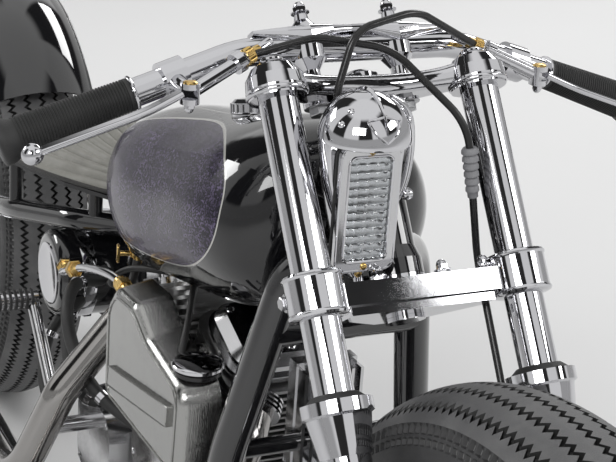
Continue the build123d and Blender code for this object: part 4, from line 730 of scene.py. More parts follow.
# a raised rib over the dome from front to back, and a three-cornered panel set on its front
ridge = [round_from(dome_middle, 41.2, a) for a in range(18, 163, 6)]
crest = swept(ridge, [0.4 + 1.5 * sin(pi * i / (len(ridge) - 1)) for i in range(len(ridge))], 8)
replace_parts(piece("headlamp_shell", joined([shell, dome, crest]), "steering", CHROME, 30), "headlamp_body")


def on_dome(turn, tilt, out=0.0):
    """A point on the brow's dome: degrees to the left of ahead, degrees up, and how far it stands off."""
    way = Vector((cos(radians(turn)) * cos(radians(tilt)), sin(radians(turn)) * cos(radians(tilt)), sin(radians(tilt))))
    return dome_middle + way * (DOME_RADIUS + out), way


shapes = []
for turn, tilt in ((-62, 26), (-55, 44), (62, 26), (55, 44)):
    spot, way = on_dome(turn, tilt, -0.4)
    shapes.append(turned([(3.0, 0), (3.0, 0.8), (2.2, 1.7), (0, 2.2)], facing(spot, way), 14))
piece("brow_rivets", joined(shapes), "steering", CHROME)
corners = [(-26, 34), (0, 40), (26, 34), (14, 18), (0, 8), (-14, 18)]
edge = []
for i, (turn, tilt) in enumerate(corners):
    next_turn, next_tilt = corners[(i + 1) % len(corners)]
    for k in range(4):
        t = k / 4
        edge.append(on_dome(turn + (next_turn - turn) * t, tilt + (next_tilt - tilt) * t, 0.4)[0])
piece("brow_badge_border", closed_hoop(edge, 1.1, 8), "steering", CHROME)

# Ribbed lens over a bright bowl, in the bezel
LENS_MIDDLE = Vector((536.3, -47.0, 752.0))
LENS_UP, LENS_OUT = 45.8, 19.8  # half its height and half its width
RIB_PITCH, FLUTE_PITCH = 7.05, 9.9
across, tall = 72, 156
points = []
for r in range(tall + 1):
    height = -LENS_UP + 2 * LENS_UP * r / tall
    for c in range(across + 1):
        side = -LENS_OUT + 2 * LENS_OUT * c / across
        rib = abs(sin(pi * (height + LENS_UP) / RIB_PITCH)) ** 0.6
        flute = abs(sin(pi * (side + LENS_OUT) / FLUTE_PITCH)) ** 0.8
        dome_out = 1.2 * (1 - (side / 20) ** 2) * (1 - (height / 46) ** 2)
        points.append(LENS_MIDDLE + Vector((4.4 + dome_out + 1.0 * rib + 0.5 * flute, side, height)))
base = len(points)
faces = grid_faces(tall, across)
for up, out in ((-1, -1), (-1, 1), (1, 1), (1, -1)):
    points.append(LENS_MIDDLE + Vector((2.2, out * LENS_OUT, up * LENS_UP)))
faces.append((base, base + 3, base + 2, base + 1))
faces.append(tuple([base, base + 1] + list(range(across, -1, -1))))
faces.append(tuple([base + 1, base + 2] + [r * (across + 1) + across for r in range(tall, -1, -1)]))
faces.append(tuple([base + 2, base + 3] + [tall * (across + 1) + c for c in range(across + 1)]))
faces.append(tuple([base + 3, base] + [r * (across + 1) for r in range(tall + 1)]))
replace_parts(piece("ribbed_lens", (points, faces), "steering", LAMP_GLASS, 60), "headlamp_lens")
bowl = []
glass_edge = round_box(2 * LENS_OUT, 2 * LENS_UP, 6, 6)
for share, depth in ((1.0, 1.9), (0.94, 1.5), (0.8, 0.9), (0.55, 0.5), (0.2, 0.3), (0.02, 0.3)):
    bowl.append([LENS_MIDDLE + Vector((depth, x * share, y * share)) for x, y in glass_edge])
piece("lamp_bowl", rings_to_shape(bowl, caps=False), "steering", ALLOY)
# a raised inner lip round the glass, a gasket line round the bezel, and its brass screws
lip = [LENS_MIDDLE + Vector((8.0, x, y)) for x, y in round_box(41.5, 93.5, 6.5, 8)]
outer_lip = [LENS_MIDDLE + Vector((7.2, x, y)) for x, y in round_box(55.5, 109.5, 9, 8)]
beads = joined([closed_hoop(lip, 1.2, 8), closed_hoop(outer_lip, 1.2, 8)])
piece("bezel_beads", beads, "steering", CHROME)
gasket = [LENS_MIDDLE + Vector((0.4, x, y)) for x, y in round_box(59.0, 113.0, 10.5, 8)]
piece("bezel_gasket", closed_hoop(gasket, 1.0, 8), "steering", BLACK_RUBBER)
shapes = [slot_screw(LENS_MIDDLE + Vector((7.8, side, height)), AHEAD, 3.2) for side, height in ((0, 51.3), (0, -51.3))]
shapes.append(slot_screw(LENS_MIDDLE + Vector((-0.4, 0, -61.0)), AHEAD + Vector((0, 0, -0.1)), 3.4))
piece("bezel_screws", joined(shapes), "steering", BRASS)

# Side loop that guards the lamp on its left, with a knob on its lower end
loop = smooth_path([
    (530, -26, 846), (532, -14, 838), (531, -6, 822), (530, -3, 800),
    (528, -3, 780), (526, -5, 764), (523, -10, 750), (517, -19, 742),
], 6)
knob = Vector((527, -1.5, 757))
shapes = [swept(loop, [2.6 + 0.9 * sin(pi * i / (len(loop) - 1)) for i in range(len(loop))], 12)]
shapes.append(turned([(0, -6), (3, -5.5), (5, -3), (5.6, 0), (5, 3), (3, 5.5), (0, 6)], facing(knob, (0.5, 1, 0)), 18))
piece("lamp_side_loop", joined(shapes), "steering", CHROME)

# Seat: a crowned cushion in tuck and roll, with a welt and a dark band


def seat_half_width(x):
    """Half the seat's width along its length, rounded at both ends."""
    plan = [
        (-92, 24), (-98, 42), (-120, 56), (-150, 74), (-190, 95), (-230, 112),
        (-270, 123), (-310, 126), (-350, 124), (-376, 114), (-392, 92), (-400, 52),
    ]
    xs = [-p[0] for p in plan]
    return float(np.interp(-x, xs, [p[1] for p in plan]))


ACROSS, ALONG = 112, 72
SEAT_TOP, SEAT_BASE = 576.0, 551.6
SEAT_FRONT, SEAT_LENGTH = -93, 306
STUFFING_FRAMES = 20
ROLLS = 6.5  # sewn rolls on each half of the seat
lengths = [SEAT_FRONT - SEAT_LENGTH * (0.5 - 0.5 * cos(pi * r / ALONG)) for r in range(ALONG + 1)]
grid = np.zeros((ALONG + 1, ACROSS + 1, 3))
for r, x in enumerate(lengths):
    half = seat_half_width(x)
    ends = min(1.0, (SEAT_FRONT - x) / 26.0, (x + 399.5) / 26.0)
    end_drop = 1 - sqrt(max(0.0, 1 - (1 - max(ends, 0.0)) ** 2))
    for c in range(ACROSS + 1):
        u = -1 + 2 * c / ACROSS
        shaped = u * (1.0 - 0.035 * (1 - abs(u)))
        fall = 1 - sqrt(max(0.0, 1 - abs(u) ** 3.4))
        height = SEAT_TOP - 19.0 * max(fall, end_drop * 0.9) + 5.0 * (1 - u * u)
        height -= 5.0 * sin(pi * (SEAT_FRONT - x) / SEAT_LENGTH)
        grid[r, c] = (x, shaped * half, max(height, SEAT_BASE + 4))
points = [tuple(p) for p in grid.reshape(-1, 3)]
faces = grid_faces(ALONG, ACROSS)
rim = list(range(ACROSS + 1)) + [r * (ACROSS + 1) + ACROSS for r in range(1, ALONG + 1)]
rim += [ALONG * (ACROSS + 1) + c for c in range(ACROSS - 1, -1, -1)]
rim += [r * (ACROSS + 1) for r in range(ALONG - 1, 0, -1)]
top_count, rim_count = len(points), len(rim)
middle = Vector((-260, 0, 0))
for level, shrink in ((SEAT_BASE + 6, 1.0), (SEAT_BASE + 3, 1.0), (SEAT_BASE, 0.985)):
    for i in rim:
        p = Vector(points[i])
        points.append((middle.x + (p.x - middle.x) * shrink, p.y * shrink, min(level, p.z - 0.5)))
for step in range(3):
    low = top_count + rim_count * step
    for k in range(rim_count):
        n = (k + 1) % rim_count
        if step == 0:
            faces.append((rim[n], rim[k], low + k, low + n))
        else:
            high = low - rim_count
            faces.append((high + n, high + k, low + k, low + n))
faces.append(tuple(top_count + rim_count * 2 + k for k in range(rim_count)))


def stuffed(name, points, faces, most):
    """Puff a closed mesh with cloth under pressure, and cap how far each point may move, in metres."""
    mesh = bpy.data.meshes.new(name)
    mesh.from_pydata([tuple(ON_STAND @ Vector(p)) for p in points], [], faces)
    pad = add_object(name, mesh)
    before = np.array([v.co for v in mesh.vertices])
    base = pad.vertex_groups.new(name="held")
    base.add([i for i, p in enumerate(points) if p[2] < SEAT_BASE + 7], 1.0, "REPLACE")
    cloth = pad.modifiers.new("cloth", "CLOTH")
    cloth.settings.use_pressure = True
    cloth.settings.uniform_pressure_force = 4.0
    cloth.settings.effector_weights.gravity = 0.0
    cloth.settings.vertex_group_mass = "held"
    cloth.settings.quality = 6
    cloth.point_cache.frame_start, cloth.point_cache.frame_end = 1, STUFFING_FRAMES
    for number in range(1, STUFFING_FRAMES + 1):
        bpy.context.scene.frame_set(number)
    shown = pad.evaluated_get(bpy.context.evaluated_depsgraph_get())
    after = np.array([v.co for v in shown.data.vertices])
    move = after - before
    length = np.linalg.norm(move, axis=1, keepdims=True)
    move *= np.minimum(1.0, most / np.maximum(length, 1e-9))
    back = ON_STAND.inverted()
    result = [back @ Vector(p) for p in before + move]
    bpy.context.scene.frame_set(1)
    bpy.data.objects.remove(pad)
    bpy.data.meshes.remove(mesh)
    return result


padded_points = [Vector(p) for p in points]
padded_points = stuffed("seat_padding", points, faces, 0.005)
# sewn rolls run fore and aft inside a plain border, and the seams pull the cushion in
for r in range(ALONG + 1):
    for c in range(ACROSS + 1):
        u = -1 + 2 * c / ACROSS
        x = lengths[r]
        inside = 1.0
        for room in ((0.86 - abs(u)) / 0.03, (-112 - x) / 8, (x + 378) / 8):
            inside *= min(1.0, max(0.0, room))
        roll = abs(sin(pi * (u * ROLLS + 0.5)))
        seam = 1 - roll**0.55
        border = np.exp(-((abs(u) - 0.875) / 0.016) ** 2) if -384 < x < -106 else 0.0
        padded_points[r * (ACROSS + 1) + c].z += 4.0 * inside * (roll**0.7 - 0.5) - 5.0 * inside * seam - 3.0 * border
kinds = [0] * (ALONG * ACROSS) + [0] * rim_count + [1] * (rim_count * 2) + [1]
seat_piece = piece("pleated_seat", (padded_points, faces), "frame", [SEAT_VINYL, SEAT_BAND], 70, kinds)
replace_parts(seat_piece, "seat")
welt = [padded_points[top_count + k] + Vector((0, 0, 1.0)) for k in range(0, rim_count, 2)]
piece("seat_welt", closed_hoop(welt, 2.2, 8), "frame", SEAT_BAND)

# Drive chain: side plates and rollers on the line round both sprockets

SMALL, LARGE = Vector((-12, 80, 262)), Vector((-800, 80, 334))
SMALL_RADIUS, LARGE_RADIUS = 38.0, 92.0
gap = (LARGE - SMALL).length
tilt = atan2(LARGE.z - SMALL.z, LARGE.x - SMALL.x)
spread = acos((SMALL_RADIUS - LARGE_RADIUS) / gap)


def on_sprocket(middle, radius, angle):
    return Vector((middle.x + radius * cos(angle), 0, middle.z + radius * sin(angle)))


def chain_point(distance):
    """A point on the chain's pitch line and the way it runs there."""
    run = sqrt(gap**2 - (LARGE_RADIUS - SMALL_RADIUS) ** 2)
    large_arc = LARGE_RADIUS * 2 * spread
    small_arc = SMALL_RADIUS * 2 * (pi - spread)
    total = 2 * run + large_arc + small_arc
    distance %= total
    first = tilt + spread
    if distance < run:
        t = distance / run
        a, b = on_sprocket(SMALL, SMALL_RADIUS, first), on_sprocket(LARGE, LARGE_RADIUS, first)
        return a + (b - a) * t, (b - a).normalized(), total
    distance -= run
    if distance < large_arc:
        a = first - distance / LARGE_RADIUS
        return on_sprocket(LARGE, LARGE_RADIUS, a), Vector((sin(a), 0, -cos(a))), total
    distance -= large_arc
    second = tilt - spread
    if distance < run:
        t = distance / run
        a, b = on_sprocket(LARGE, LARGE_RADIUS, second), on_sprocket(SMALL, SMALL_RADIUS, second)
        return a + (b - a) * t, (b - a).normalized(), total
    distance -= run
    a = second - distance / SMALL_RADIUS
    return on_sprocket(SMALL, SMALL_RADIUS, a), Vector((sin(a), 0, -cos(a))), total


chain_length = chain_point(0)[2]
CHAIN_PITCH = 15.875
links = 2 * round(chain_length / CHAIN_PITCH / 2)
pitch = chain_length / links
waist = []
for middle in (0, pitch):
    start = 90 if middle == 0 else -90
    for k in range(7):
        a = radians(start + 180 * k / 6)
        waist.append((middle + 5.4 * cos(a), 5.4 * sin(a)))
    waist.append((pitch / 2, -3.6 if middle == 0 else 3.6))
shapes = []
for number in range(links):
    spot, way, _ = chain_point(number * pitch)
    ahead, _, _ = chain_point((number + 1) * pitch)
    run = (ahead - spot).normalized()
    place = Matrix((run, run.cross(LEFT) * -1, LEFT)).transposed().to_4x4()
    place.translation = Vector((spot.x, 80.0, spot.z))
    for side in BOTH_SIDES:
        level = (3.1 if number % 2 else 1.9) * side
        shapes.append(slab(waist, 1.0, place @ Matrix.Translation((0, 0, level - 0.5)), 0.2))
    shapes.append(turned([(4.2, -1.5), (4.2, 1.5)], place, 12))
    shapes.append(turned([(1.9, -4.2), (2.1, -3.9), (2.1, 3.9), (1.9, 4.2)], place, 8))
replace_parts(piece("chain_links", joined(shapes), "frame", CHAIN_STEEL, 30), "drive_chain")
shapes = []
for count in range(36):
    a = radians(10 * count + 5)
    root = round_from(LARGE, 84, 10 * count + 5)
    out = Vector((cos(a), 0, sin(a)))
    place = Matrix((Vector((-sin(a), 0, cos(a))), LEFT, out)).transposed().to_4x4()
    place.translation = root - out * 2
    rings = []
    for level, wide in ((0, 4.6), (5, 3.4), (9, 1.8), (10.5, 1.0)):
        rings.append([(-wide, -1.4, level), (wide, -1.4, level), (wide, 1.4, level), (-wide, 1.4, level)])
    shapes.append(moved(rings_to_shape(rings), place))
piece("sprocket_teeth", joined(shapes), "rear_wheel", STEEL)

# Fork, handlebar and controls: caps, nuts, screws and adjusters

shapes, studs = [], []
for side in BOTH_SIDES:
    cap = fork_point(631.5, 0, side * 100)
    shapes.append(turned([(11, 0), (11, 1.6), (9.5, 3.0), (4, 3.8), (0, 3.9)], facing(cap, UP_FORK), 28))
    for level, way in ((439.0, UP_FORK), (410.0, UP_FORK * -1)):
        ring = [(17.7, -1), (25.0, -1), (26.4, 0.4), (26.8, 2.0), (25.8, 3.8), (22.5, 5.0), (17.7, 5.4)]
        shapes.append(turned(ring, facing(fork_point(level, 0, side * 100), way), 40))
    waist = [(25.6, -0.5), (26.9, 0), (27.7, 1.2), (27.7, 3.0), (26.9, 4.2), (25.6, 4.7)]
    shapes.append(turned(waist, facing(fork_point(600.0, 0, side * 100), UP_FORK), 40))
    shapes.append(acorn_nut(fork_point(689.4, -38.0, side * 44.5), UP_FORK, 6.6))
    boss = [(0, 0), (13.5, 0), (13.5, 2), (9, 6), (8.2, 7)]
    shapes.append(turned(boss, facing(fork_point(618.5, -38, side * 44.5), UP_FORK), 28))
    studs.append(hex_bolt(fork_point(600.5, -38, side * 44.5), UP_FORK * -1, 9.5, 7))
    studs.append(hex_bolt(fork_point(424, -14, side * 121.0), Vector((0, side, 0)), 6.0, 5))
for side in (-35.0, 28.0, 70.0):
    shapes.append(acorn_nut(fork_point(436.0, -6, side), UP_FORK, 5.8))
shapes.append(slab(hexagon(21.0), 5.6, facing(fork_point(620.2, -38, 0), UP_FORK), 0.9))
piece("fork_caps_and_nuts", joined(shapes), "steering", CHROME)
piece("yoke_bolts", joined(studs), "steering", STEEL)

perch_way = Vector((4, -97, -30)).normalized()
perch_middle = bar_bend - perch_way * 34
pivot = perch_middle + Vector((46, -2, -1))
barrel = perch_middle + Vector((30, 56, 24))
barrel_way = (barrel - pivot).normalized()
brass, bright = [], []


def knurled(radius, low, high, ridges=28):
    """A short drum with ridges along its side."""
    rings = []
    for level, grow in ((low, -0.6), (low + 0.6, 0), (high - 0.6, 0), (high, -0.6)):
        ring = []
        for k in range(ridges * 2):
            a = pi * k / ridges
            reach = radius + grow - (0.55 if k % 2 else 0.0)
            ring.append((reach * cos(a), reach * sin(a), level))
        rings.append(ring)
    return rings_to_shape(rings)


for side in BOTH_SIDES:
    flip = Vector((1, -side, 1))
    end_place = facing(barrel * flip, barrel_way * flip)
    brass.append(moved(knurled(7.6, -2.0, 6.0), end_place))
    brass.append(turned([(3.6, 6), (5.2, 6), (5.2, 13), (4.6, 14), (3.6, 14)], end_place, 18))
    bright.append(turned([(3.5, 14), (4.9, 14), (4.9, 27), (4.2, 28), (3.5, 28)], end_place, 18))
    bright.append(slab(hexagon(8.2), 4.0, end_place @ Matrix.Translation((0, 0, -7.5))))
    brass.append(slot_screw((pivot + Vector((0, 0, 8.8))) * flip, UP, 6.4))
    bright.append(acorn_nut((pivot - Vector((0, 0, 8.8))) * flip, UP * -1, 5.0))
    for shift in (-6.5, 6.5):
        spot = perch_middle + perch_way * shift + Vector((-15.0, 0, 9.0))
        bright.append(slot_screw(spot * flip, Vector((-0.86, 0, 0.5)), 3.4))
    collar = [(12.8, 0), (15.6, 0), (16.1, 0.8), (16.1, 2.0), (15.4, 2.8), (12.8, 2.9)]
    bright.append(turned(collar, facing((grip_end - bar_way * 122.3) * flip, bar_way * flip * -1), 40))
piece("control_adjusters", joined(brass), "steering", BRASS)
piece("control_fittings", joined(bright), "steering", CHROME)

# Grey rubber boot over the brake cable where it passes between the lamp and the left tube
boot_start, boot_end = fork_point(556, 30, 62), fork_point(449, -34, 82)
boot_way = (boot_end - boot_start).normalized()
outline = [(3.5, -24), (6.0, -24)]
for k in range(6):
    outline += [(7.6 - 0.3 * k, -22 + 7 * k), (7.8 - 0.3 * k, -19 + 7 * k), (5.8 - 0.2 * k, -17 + 7 * k)]
outline += [(4.8, 22), (3.5, 23)]
boot_place = facing(boot_start.lerp(boot_end, 0.36), boot_way)
piece("cable_boot", turned(outline, boot_place, 24), "steering", GREY_BOOT)

# The clutch cable's free length between its turning half and its fixed half, as one swept mesh
link_start, link_end = fork_point(495.4, -74, -10), fork_point(508.6, -44, -40)
link = smooth_path([link_start, fork_point(503.5, -77, -23), fork_point(508.5, -64, -35), link_end], 8)
points, faces = swept(link, 3.4, 14)
link_mesh = bpy.data.meshes.new("clutch_cable_link")
link_mesh.from_pydata([tuple(ON_STAND @ p) for p in points], [], faces)
link_mesh.materials.append(SHEATH)
link_mesh.polygons.foreach_set("use_smooth", [True] * len(link_mesh.polygons))
cable_link = add_object("clutch_cable_link", link_mesh)
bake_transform(cable_link)

# Engine: screws, plugs, covers, hoses and fittings

screws, bolts = [], []
for a in (198, 246, 294, 342):
    screws.append(slot_screw(round_from(CRANK, 50, a, -91.6), RIGHT, 4.2))
for x, z in ((125, 326), (255, 326), (140, 362), (240, 362), (190, 366)):
    screws.append(slot_screw((x, -91.6, z), RIGHT, 4.2))
round_cover = [(34, 0), (34, 1.6), (31, 3.0), (29, 2.4), (12, 3.4), (0, 3.6)]
screws.append(turned(round_cover, facing((190, -91.9, 285), RIGHT), 48))
for a in (90, 210, 330):
    screws.append(slot_screw((190 + 25 * cos(radians(a)), -94.2, 285 + 25 * sin(radians(a))), RIGHT, 3.0))
for x, z, reach, turns in ((190, 285, 61, (-70, -35, 0, 35, 70)), (-12, 262, 77, (110, 145, 180, 215, 250))):
    for a in turns:
        screws.append(slot_screw((x + reach * cos(radians(a)), 127.8, z + reach * sin(radians(a))), LEFT, 4.4))
for x, z in ((90, 338), (96, 212)):
    screws.append(slot_screw((x, 127.8, z), LEFT, 4.4))
disc = [(52, 0), (52, 2.4), (49.5, 4.0), (44, 4.6), (40, 3.6), (0, 4.4)]
screws.append(turned(disc, facing((-12, 127.9, 262), LEFT), 56))
screws.append(slab(round_box(76, 44, 21, 8), 3.6, facing((118, 127.9, 275), LEFT), 1.2))
for x in (90, 146):
    screws.append(slot_screw((x, 131.4, 275), LEFT, 3.4))
for a in (20, 92, 164, 236, 308):
    screws.append(slot_screw((-12 + 46.5 * cos(radians(a)), 132.0, 262 + 46.5 * sin(radians(a))), LEFT, 3.0))
for x, z in ((-74, 306), (-74, 222), (22, 306), (22, 222)):
    screws.append(slot_screw((x, -87.8, z), RIGHT, 4.2))
for bank in (1, -1):
    way = bank_way(bank)
    across = Vector((way.z, 0, -way.x))
    for along in (-30, 30):
        for side in (-46, 0, 46):
            screws.append(slot_screw(CRANK + way * 276.0 + across * along + Vector((0, side, 0)), way, 4.6))
    for along in (-42, 42):
        for side in (-50, 50):
            bolts.append(hex_bolt(CRANK + way * 116.0 + across * along + Vector((0, side, 0)), way, 6.5, 8))
piece("cover_screws", joined(screws), "frame", ALLOY, 30)
piece("cylinder_base_nuts", joined(bolts), "frame", STEEL)

# The side housing's rolled edge and strip border, and the flat-topped breather that stands on its front end
housing = [(148, 416), (148, 512), (168, 536), (220, 540), (258, 520), (344, 506), (350, 494), (345, 416)]
bead = [Vector((x, -134.2, z)) for x, z in housing]
loop = []
for i, p in enumerate(bead):
    before, after = bead[i - 1], bead[(i + 1) % len(bead)]
    reach = 7.0 if min((after - p).length, (before - p).length) < 26 else 14.0
    a, b = p + (before - p).normalized() * reach, p + (after - p).normalized() * reach
    loop += [a * (1 - t) ** 2 + p * 2 * t * (1 - t) + b * t**2 for t in (0, 0.2, 0.4, 0.6, 0.8, 1)]
shapes = [closed_hoop(loop, 1.5, 8)]
strip = [(158.5, 430.5), (162.5, 453.5), (335.5, 484.5), (333.5, 461.5)]
edge = []
for i in range(4):
    (ax, az), (bx, bz) = strip[i], strip[(i + 1) % 4]
    edge += [Vector((ax + (bx - ax) * t, -137.9, az + (bz - az) * t)) for t in (0.02, 0.25, 0.5, 0.75, 0.98)]
shapes.append(closed_hoop(edge, 0.9, 6))
piece("housing_trim", joined(shapes), "frame", HOUSING_ALLOY)
foot = Vector((333, -106, 506))
bowl = [(14, 0), (14, 7), (21, 9), (24, 11), (24, 15), (22.5, 15.6), (22.5, 17)]
piece("breather_base", turned(bowl, facing(foot, UP), 40), "frame", BLACK_METAL)
lid = [(22.0, 17), (25.2, 17), (26.0, 17.8), (26.0, 20.6), (25.0, 21.8), (22.0, 22.6), (12.0, 24.0), (0, 24.6)]
piece("breather_lid", turned(lid, facing(foot, UP), 40), "frame", CHROME)

# Inlet tube between the heads, and ribbed nuts where the pipes leave them
inlet = smooth_path([(238, -8, 476), (214, -22, 472), (190, -30, 470), (166, -22, 472), (142, -8, 476)], 8)
shapes = [swept(inlet, 17, 20), rod((190, -26, 470), (190, -92, 470), 20, 28, 2)]
shapes.append(turned([(20, 0), (27, 0), (27, 5), (20, 5)], facing((190, -60, 470), RIGHT), 28))
for start, after in (((316, -30, 474), (352, -58, 440)), ((64, -30, 474), (12, -66, 446))):
    way = (Vector(after) - Vector(start)).normalized()
    for level in (4, 9, 14, 19):
        fin = [(20.3, level), (27, level), (27.6, level + 0.8), (27, level + 2.4), (20.3, level + 2.4)]
        shapes.append(turned(fin, facing(start, way), 32))
piece("inlet_and_pipe_nuts", joined(shapes), "frame", ALLOY)

# Spark plugs in both heads and their leads up under the tank
plugs, leads = [], []
for bank in (1, -1):
    base = CRANK + bank_way(bank) * 233.0 + Vector((bank * 8, -66, 0))
    way = Vector((bank * 0.25, -1, 0.28)).normalized()
    plugs.append(slab(hexagon(9.0), 7, facing(base, way), 0.8))
    plugs.append(turned([(6.0, 7), (6.0, 18), (5.0, 20)], facing(base, way), 18))
    leads.append(turned([(7.2, 15), (7.6, 18), (7.2, 32), (5, 35), (3.6, 38)], facing(base, way), 18))
    tip = base + way * 36
    bends = [tip, tip + way * 10 + Vector((0, 0, 6)), Vector((base.x - bank * 18, -92, base.z + 42))]
    bends += [Vector((190 - bank * 12, -44, 562)), Vector((190 - bank * 8, -20, 574))]
    leads.append(swept(smooth_path(bends, 8), 3.6, 12))
piece("spark_plugs", joined(plugs), "frame", STEEL)
piece("plug_leads", joined(leads), "frame", HOSE_RUBBER)

# Oil hoses from the tank's front to the engine and gearbox, each held by a clip at both ends
hoses, clips = [], []
HOSES = [
    ([(-152, -66, 398), (-122, -92, 390), (-84, -104, 362), (-50, -104, 336), (-30, -96, 322), (-20, -80, 318)], 7.5),
    ([(-150, -40, 424), (-116, -84, 436), (-76, -108, 420), (-34, -112, 386), (20, -100, 352), (84, -58, 322)], 8.0),
    ([(-206, -70, 362), (-200, -92, 330), (-170, -108, 290), (-120, -108, 262), (-96, -96, 258), (-80, -78, 256)], 7.0),
]
for points, radius in HOSES:
    line = smooth_path(points, 8)
    hoses.append(swept(line, radius, 16))
    for i in (7, len(line) - 8):
        band = facing(line[i], line[i + 1] - line[i - 1])
        clips.append(turned([(radius - 0.5, -4), (radius + 1.0, -4), (radius + 1.0, 4), (radius - 0.5, 4)], band, 24))
        clips.append(slab(round_box(7, 9, 1, 2), 6, band @ Matrix.Translation((radius, 0, -3))))
piece("oil_hoses", joined(hoses), "frame", HOSE_RUBBER)
line = smooth_path([
    (-160, -84, 450), (-120, -98, 457), (-72, -114, 472), (20, -118, 512), (100, -114, 531), (152, -112, 530),
], 8)
clips.append(swept(line, 5.0, 14))
piece("oil_line_and_clips", joined(clips), "frame", CHROME)
brass = []
for i in (4, 20, 36):
    union = facing(line[i], line[i + 1] - line[i - 1])
    brass.append(slab(hexagon(10.5), 11, union, 1.0))
    brass.append(turned([(5, -7), (7.6, -7), (7.6, 18), (5, 18)], union, 20))
tap = Vector((70, -74, 562))
brass.append(turned([(11, 0), (11, 4), (7, 5), (7, 14), (9, 15), (9, 22), (5, 23), (5, 30)], facing(tap, UP * -1), 24))
brass.append(rod(tap - Vector((0, 0, 18)), tap + Vector((-6, -20, -19)), 3.2, 12))
brass.append(slab(round_box(8, 22, 3.5, 4), 3, facing(tap + Vector((-6, -20, -19)), (-0.25, -1, 0)), 0.6))
piece("brass_unions_and_tap", joined(brass), "frame", BRASS)
tap_end = [tap - Vector((0, 0, 26)), tap + Vector((4, -6, -46))]
fuel = smooth_path(tap_end + [(96, -96, 496), (128, -98, 482), (168, -90, 474)], 8)
piece("fuel_hose", swept(fuel, 5.0, 14), "frame", HOSE_RUBBER)

# Oil tank: straps, a screw cap, a drain plug and a pressed disc on each end
shapes = []
for y in (-54, 54):
    strap = [(57.8, -9), (58.9, -9), (59.3, -8), (59.3, 8), (58.9, 9), (57.8, 9)]
    shapes.append(turned(strap, facing((-206, y, 418), LEFT), 72))
shapes.append(turned([(21, 0), (21, 6), (24, 7), (24, 17), (21, 20), (0, 21)], facing((-206, -20, 473), UP), 40))
shapes.append(slab(hexagon(9), 7, facing((-206, -40, 361), UP * -1), 0.8))
for side in BOTH_SIDES:
    pressed = [(40, 0), (40, 1.4), (37, 2.4), (34, 1.4), (0, 1.8)]
    shapes.append(turned(pressed, facing((-206, side * 91.9, 418), Vector((0, side, 0))), 56))
piece("oil_tank_fittings", joined(shapes), "frame", CHROME)

# Rubber ribs on the pegs, the pedals and the kick-starter
shapes = []
PEG, PEDAL = (382, 146, 300, 13, 14.5, 16.6, 24), (468, 164, 302, 8, 8.5, 11.0, 20)
RIBBED = [(side, *row) for side in BOTH_SIDES for row in (PEG, PEDAL)] + [(-1, -176, 124, 398, 9, 10.5, 13.4, 22)]
for side, x, first, z, count, inner, outer, segments in RIBBED:
    rib = [(inner, -1.8), (outer, -1.4), (outer, 1.4), (inner, 1.8)]
    for k in range(count):
        shapes.append(turned(rib, facing((x, side * (first + 7 * k), z), LEFT), segments))
piece("peg_and_pedal_rubbers", joined(shapes), "frame", BLACK_RUBBER)
cap = [(0, 0), (17, 0), (18.2, 1.2), (18.2, 3.0), (17, 4.0), (0, 4.0)]
shapes = [turned(cap, facing((382, side * 236, 300), Vector((0, side, 0))), 28) for side in BOTH_SIDES]
piece("peg_ends", joined(shapes), "frame", CHROME)

# Filler cap's grips, the mudguard's rolled rims, tail lamp rings and the bare plate
cap_way = Vector((-0.243, 0, 0.970)).normalized()
cap_place = facing((215, 0, 742), cap_way)
shapes = []
for k in range(24):
    a = 2 * pi * k / 24
    foot = cap_place @ Vector((29.6 * cos(a), 29.6 * sin(a), 2))
    shapes.append(rod(foot, foot + cap_way * 9.5, 1.9, 8, 0.5))
rolled = [(30.0 + 1.2 * cos(radians(a)), 1.6 + 1.2 * sin(radians(a))) for a in (-90, -45, 0, 45, 90)]
rim = [(29, 0)] + rolled + [(29, 3)]
shapes.append(turned(rim, cap_place, 48))
shapes.append(turned([(14, 17.2), (14, 18.4), (12, 19.0), (0, 19.2)], cap_place, 32))
piece("filler_cap_grips", joined(shapes), "frame", CHROME)
shapes = []
for y in (-77.5, 77.5):
    rim = [round_from(REAR_AXLE, 330.6, a, y) for a in range(40, 169, 2)]
    shapes.append(swept(rim, 3.0, 10, hint=LEFT))
for a in (150.0, 100.0):
    for side in BOTH_SIDES:
        top = round_from(REAR_AXLE, 334, a, side * 81)
        shapes.append(hex_bolt(top + Vector((0, side * 3.5, 0)), Vector((0, side, 0)), 6, 4))
piece("mudguard_rims", joined(shapes), "frame", BLACK_PAINT)
lamp_place = facing(round_from(REAR_AXLE, 364, 158), (-38, 0, 12))
shapes = [turned([(25.6, 20), (28.0, 20.6), (28.6, 24), (28.6, 31), (27.6, 34), (25.6, 34.6)], lamp_place, 48)]
shapes.append(turned([(26, -2), (29.5, -1), (29.5, 3), (26, 4)], lamp_place, 48))
piece("tail_lamp_rings", joined(shapes), "frame", CHROME)
shapes = [turned([(reach - 1.4, 38.9), (reach, 40.3), (reach + 1.4, 38.9)], lamp_place, 40) for reach in (7, 13, 19)]
piece("tail_lamp_ribs", joined(shapes), "frame", TAIL_RED)
shapes = [swept([(-1140, y, 424), (-1152, y, 420), (-1162, y, 408), (-1164, y, 396)], 3.4, 10) for y in (-24, 24)]
back = facing((-1164.5, 0, 384), (-1, 0, 0), LEFT)
shapes.append(slab(round_box(98, 176, 8, 5), 1.8, back, 0.3))
shapes.append(closed_hoop([back @ Vector((x, y, 1.8)) for x, y in round_box(96, 174, 7, 5)], 1.3, 8))
for y in (-70, 70):
    shapes.append(slot_screw((-1166.2, y, 414), (-1, 0, 0), 3.6))
piece("bare_plate", joined(shapes), "frame", BLACK_METAL)

# Camera, floor and light

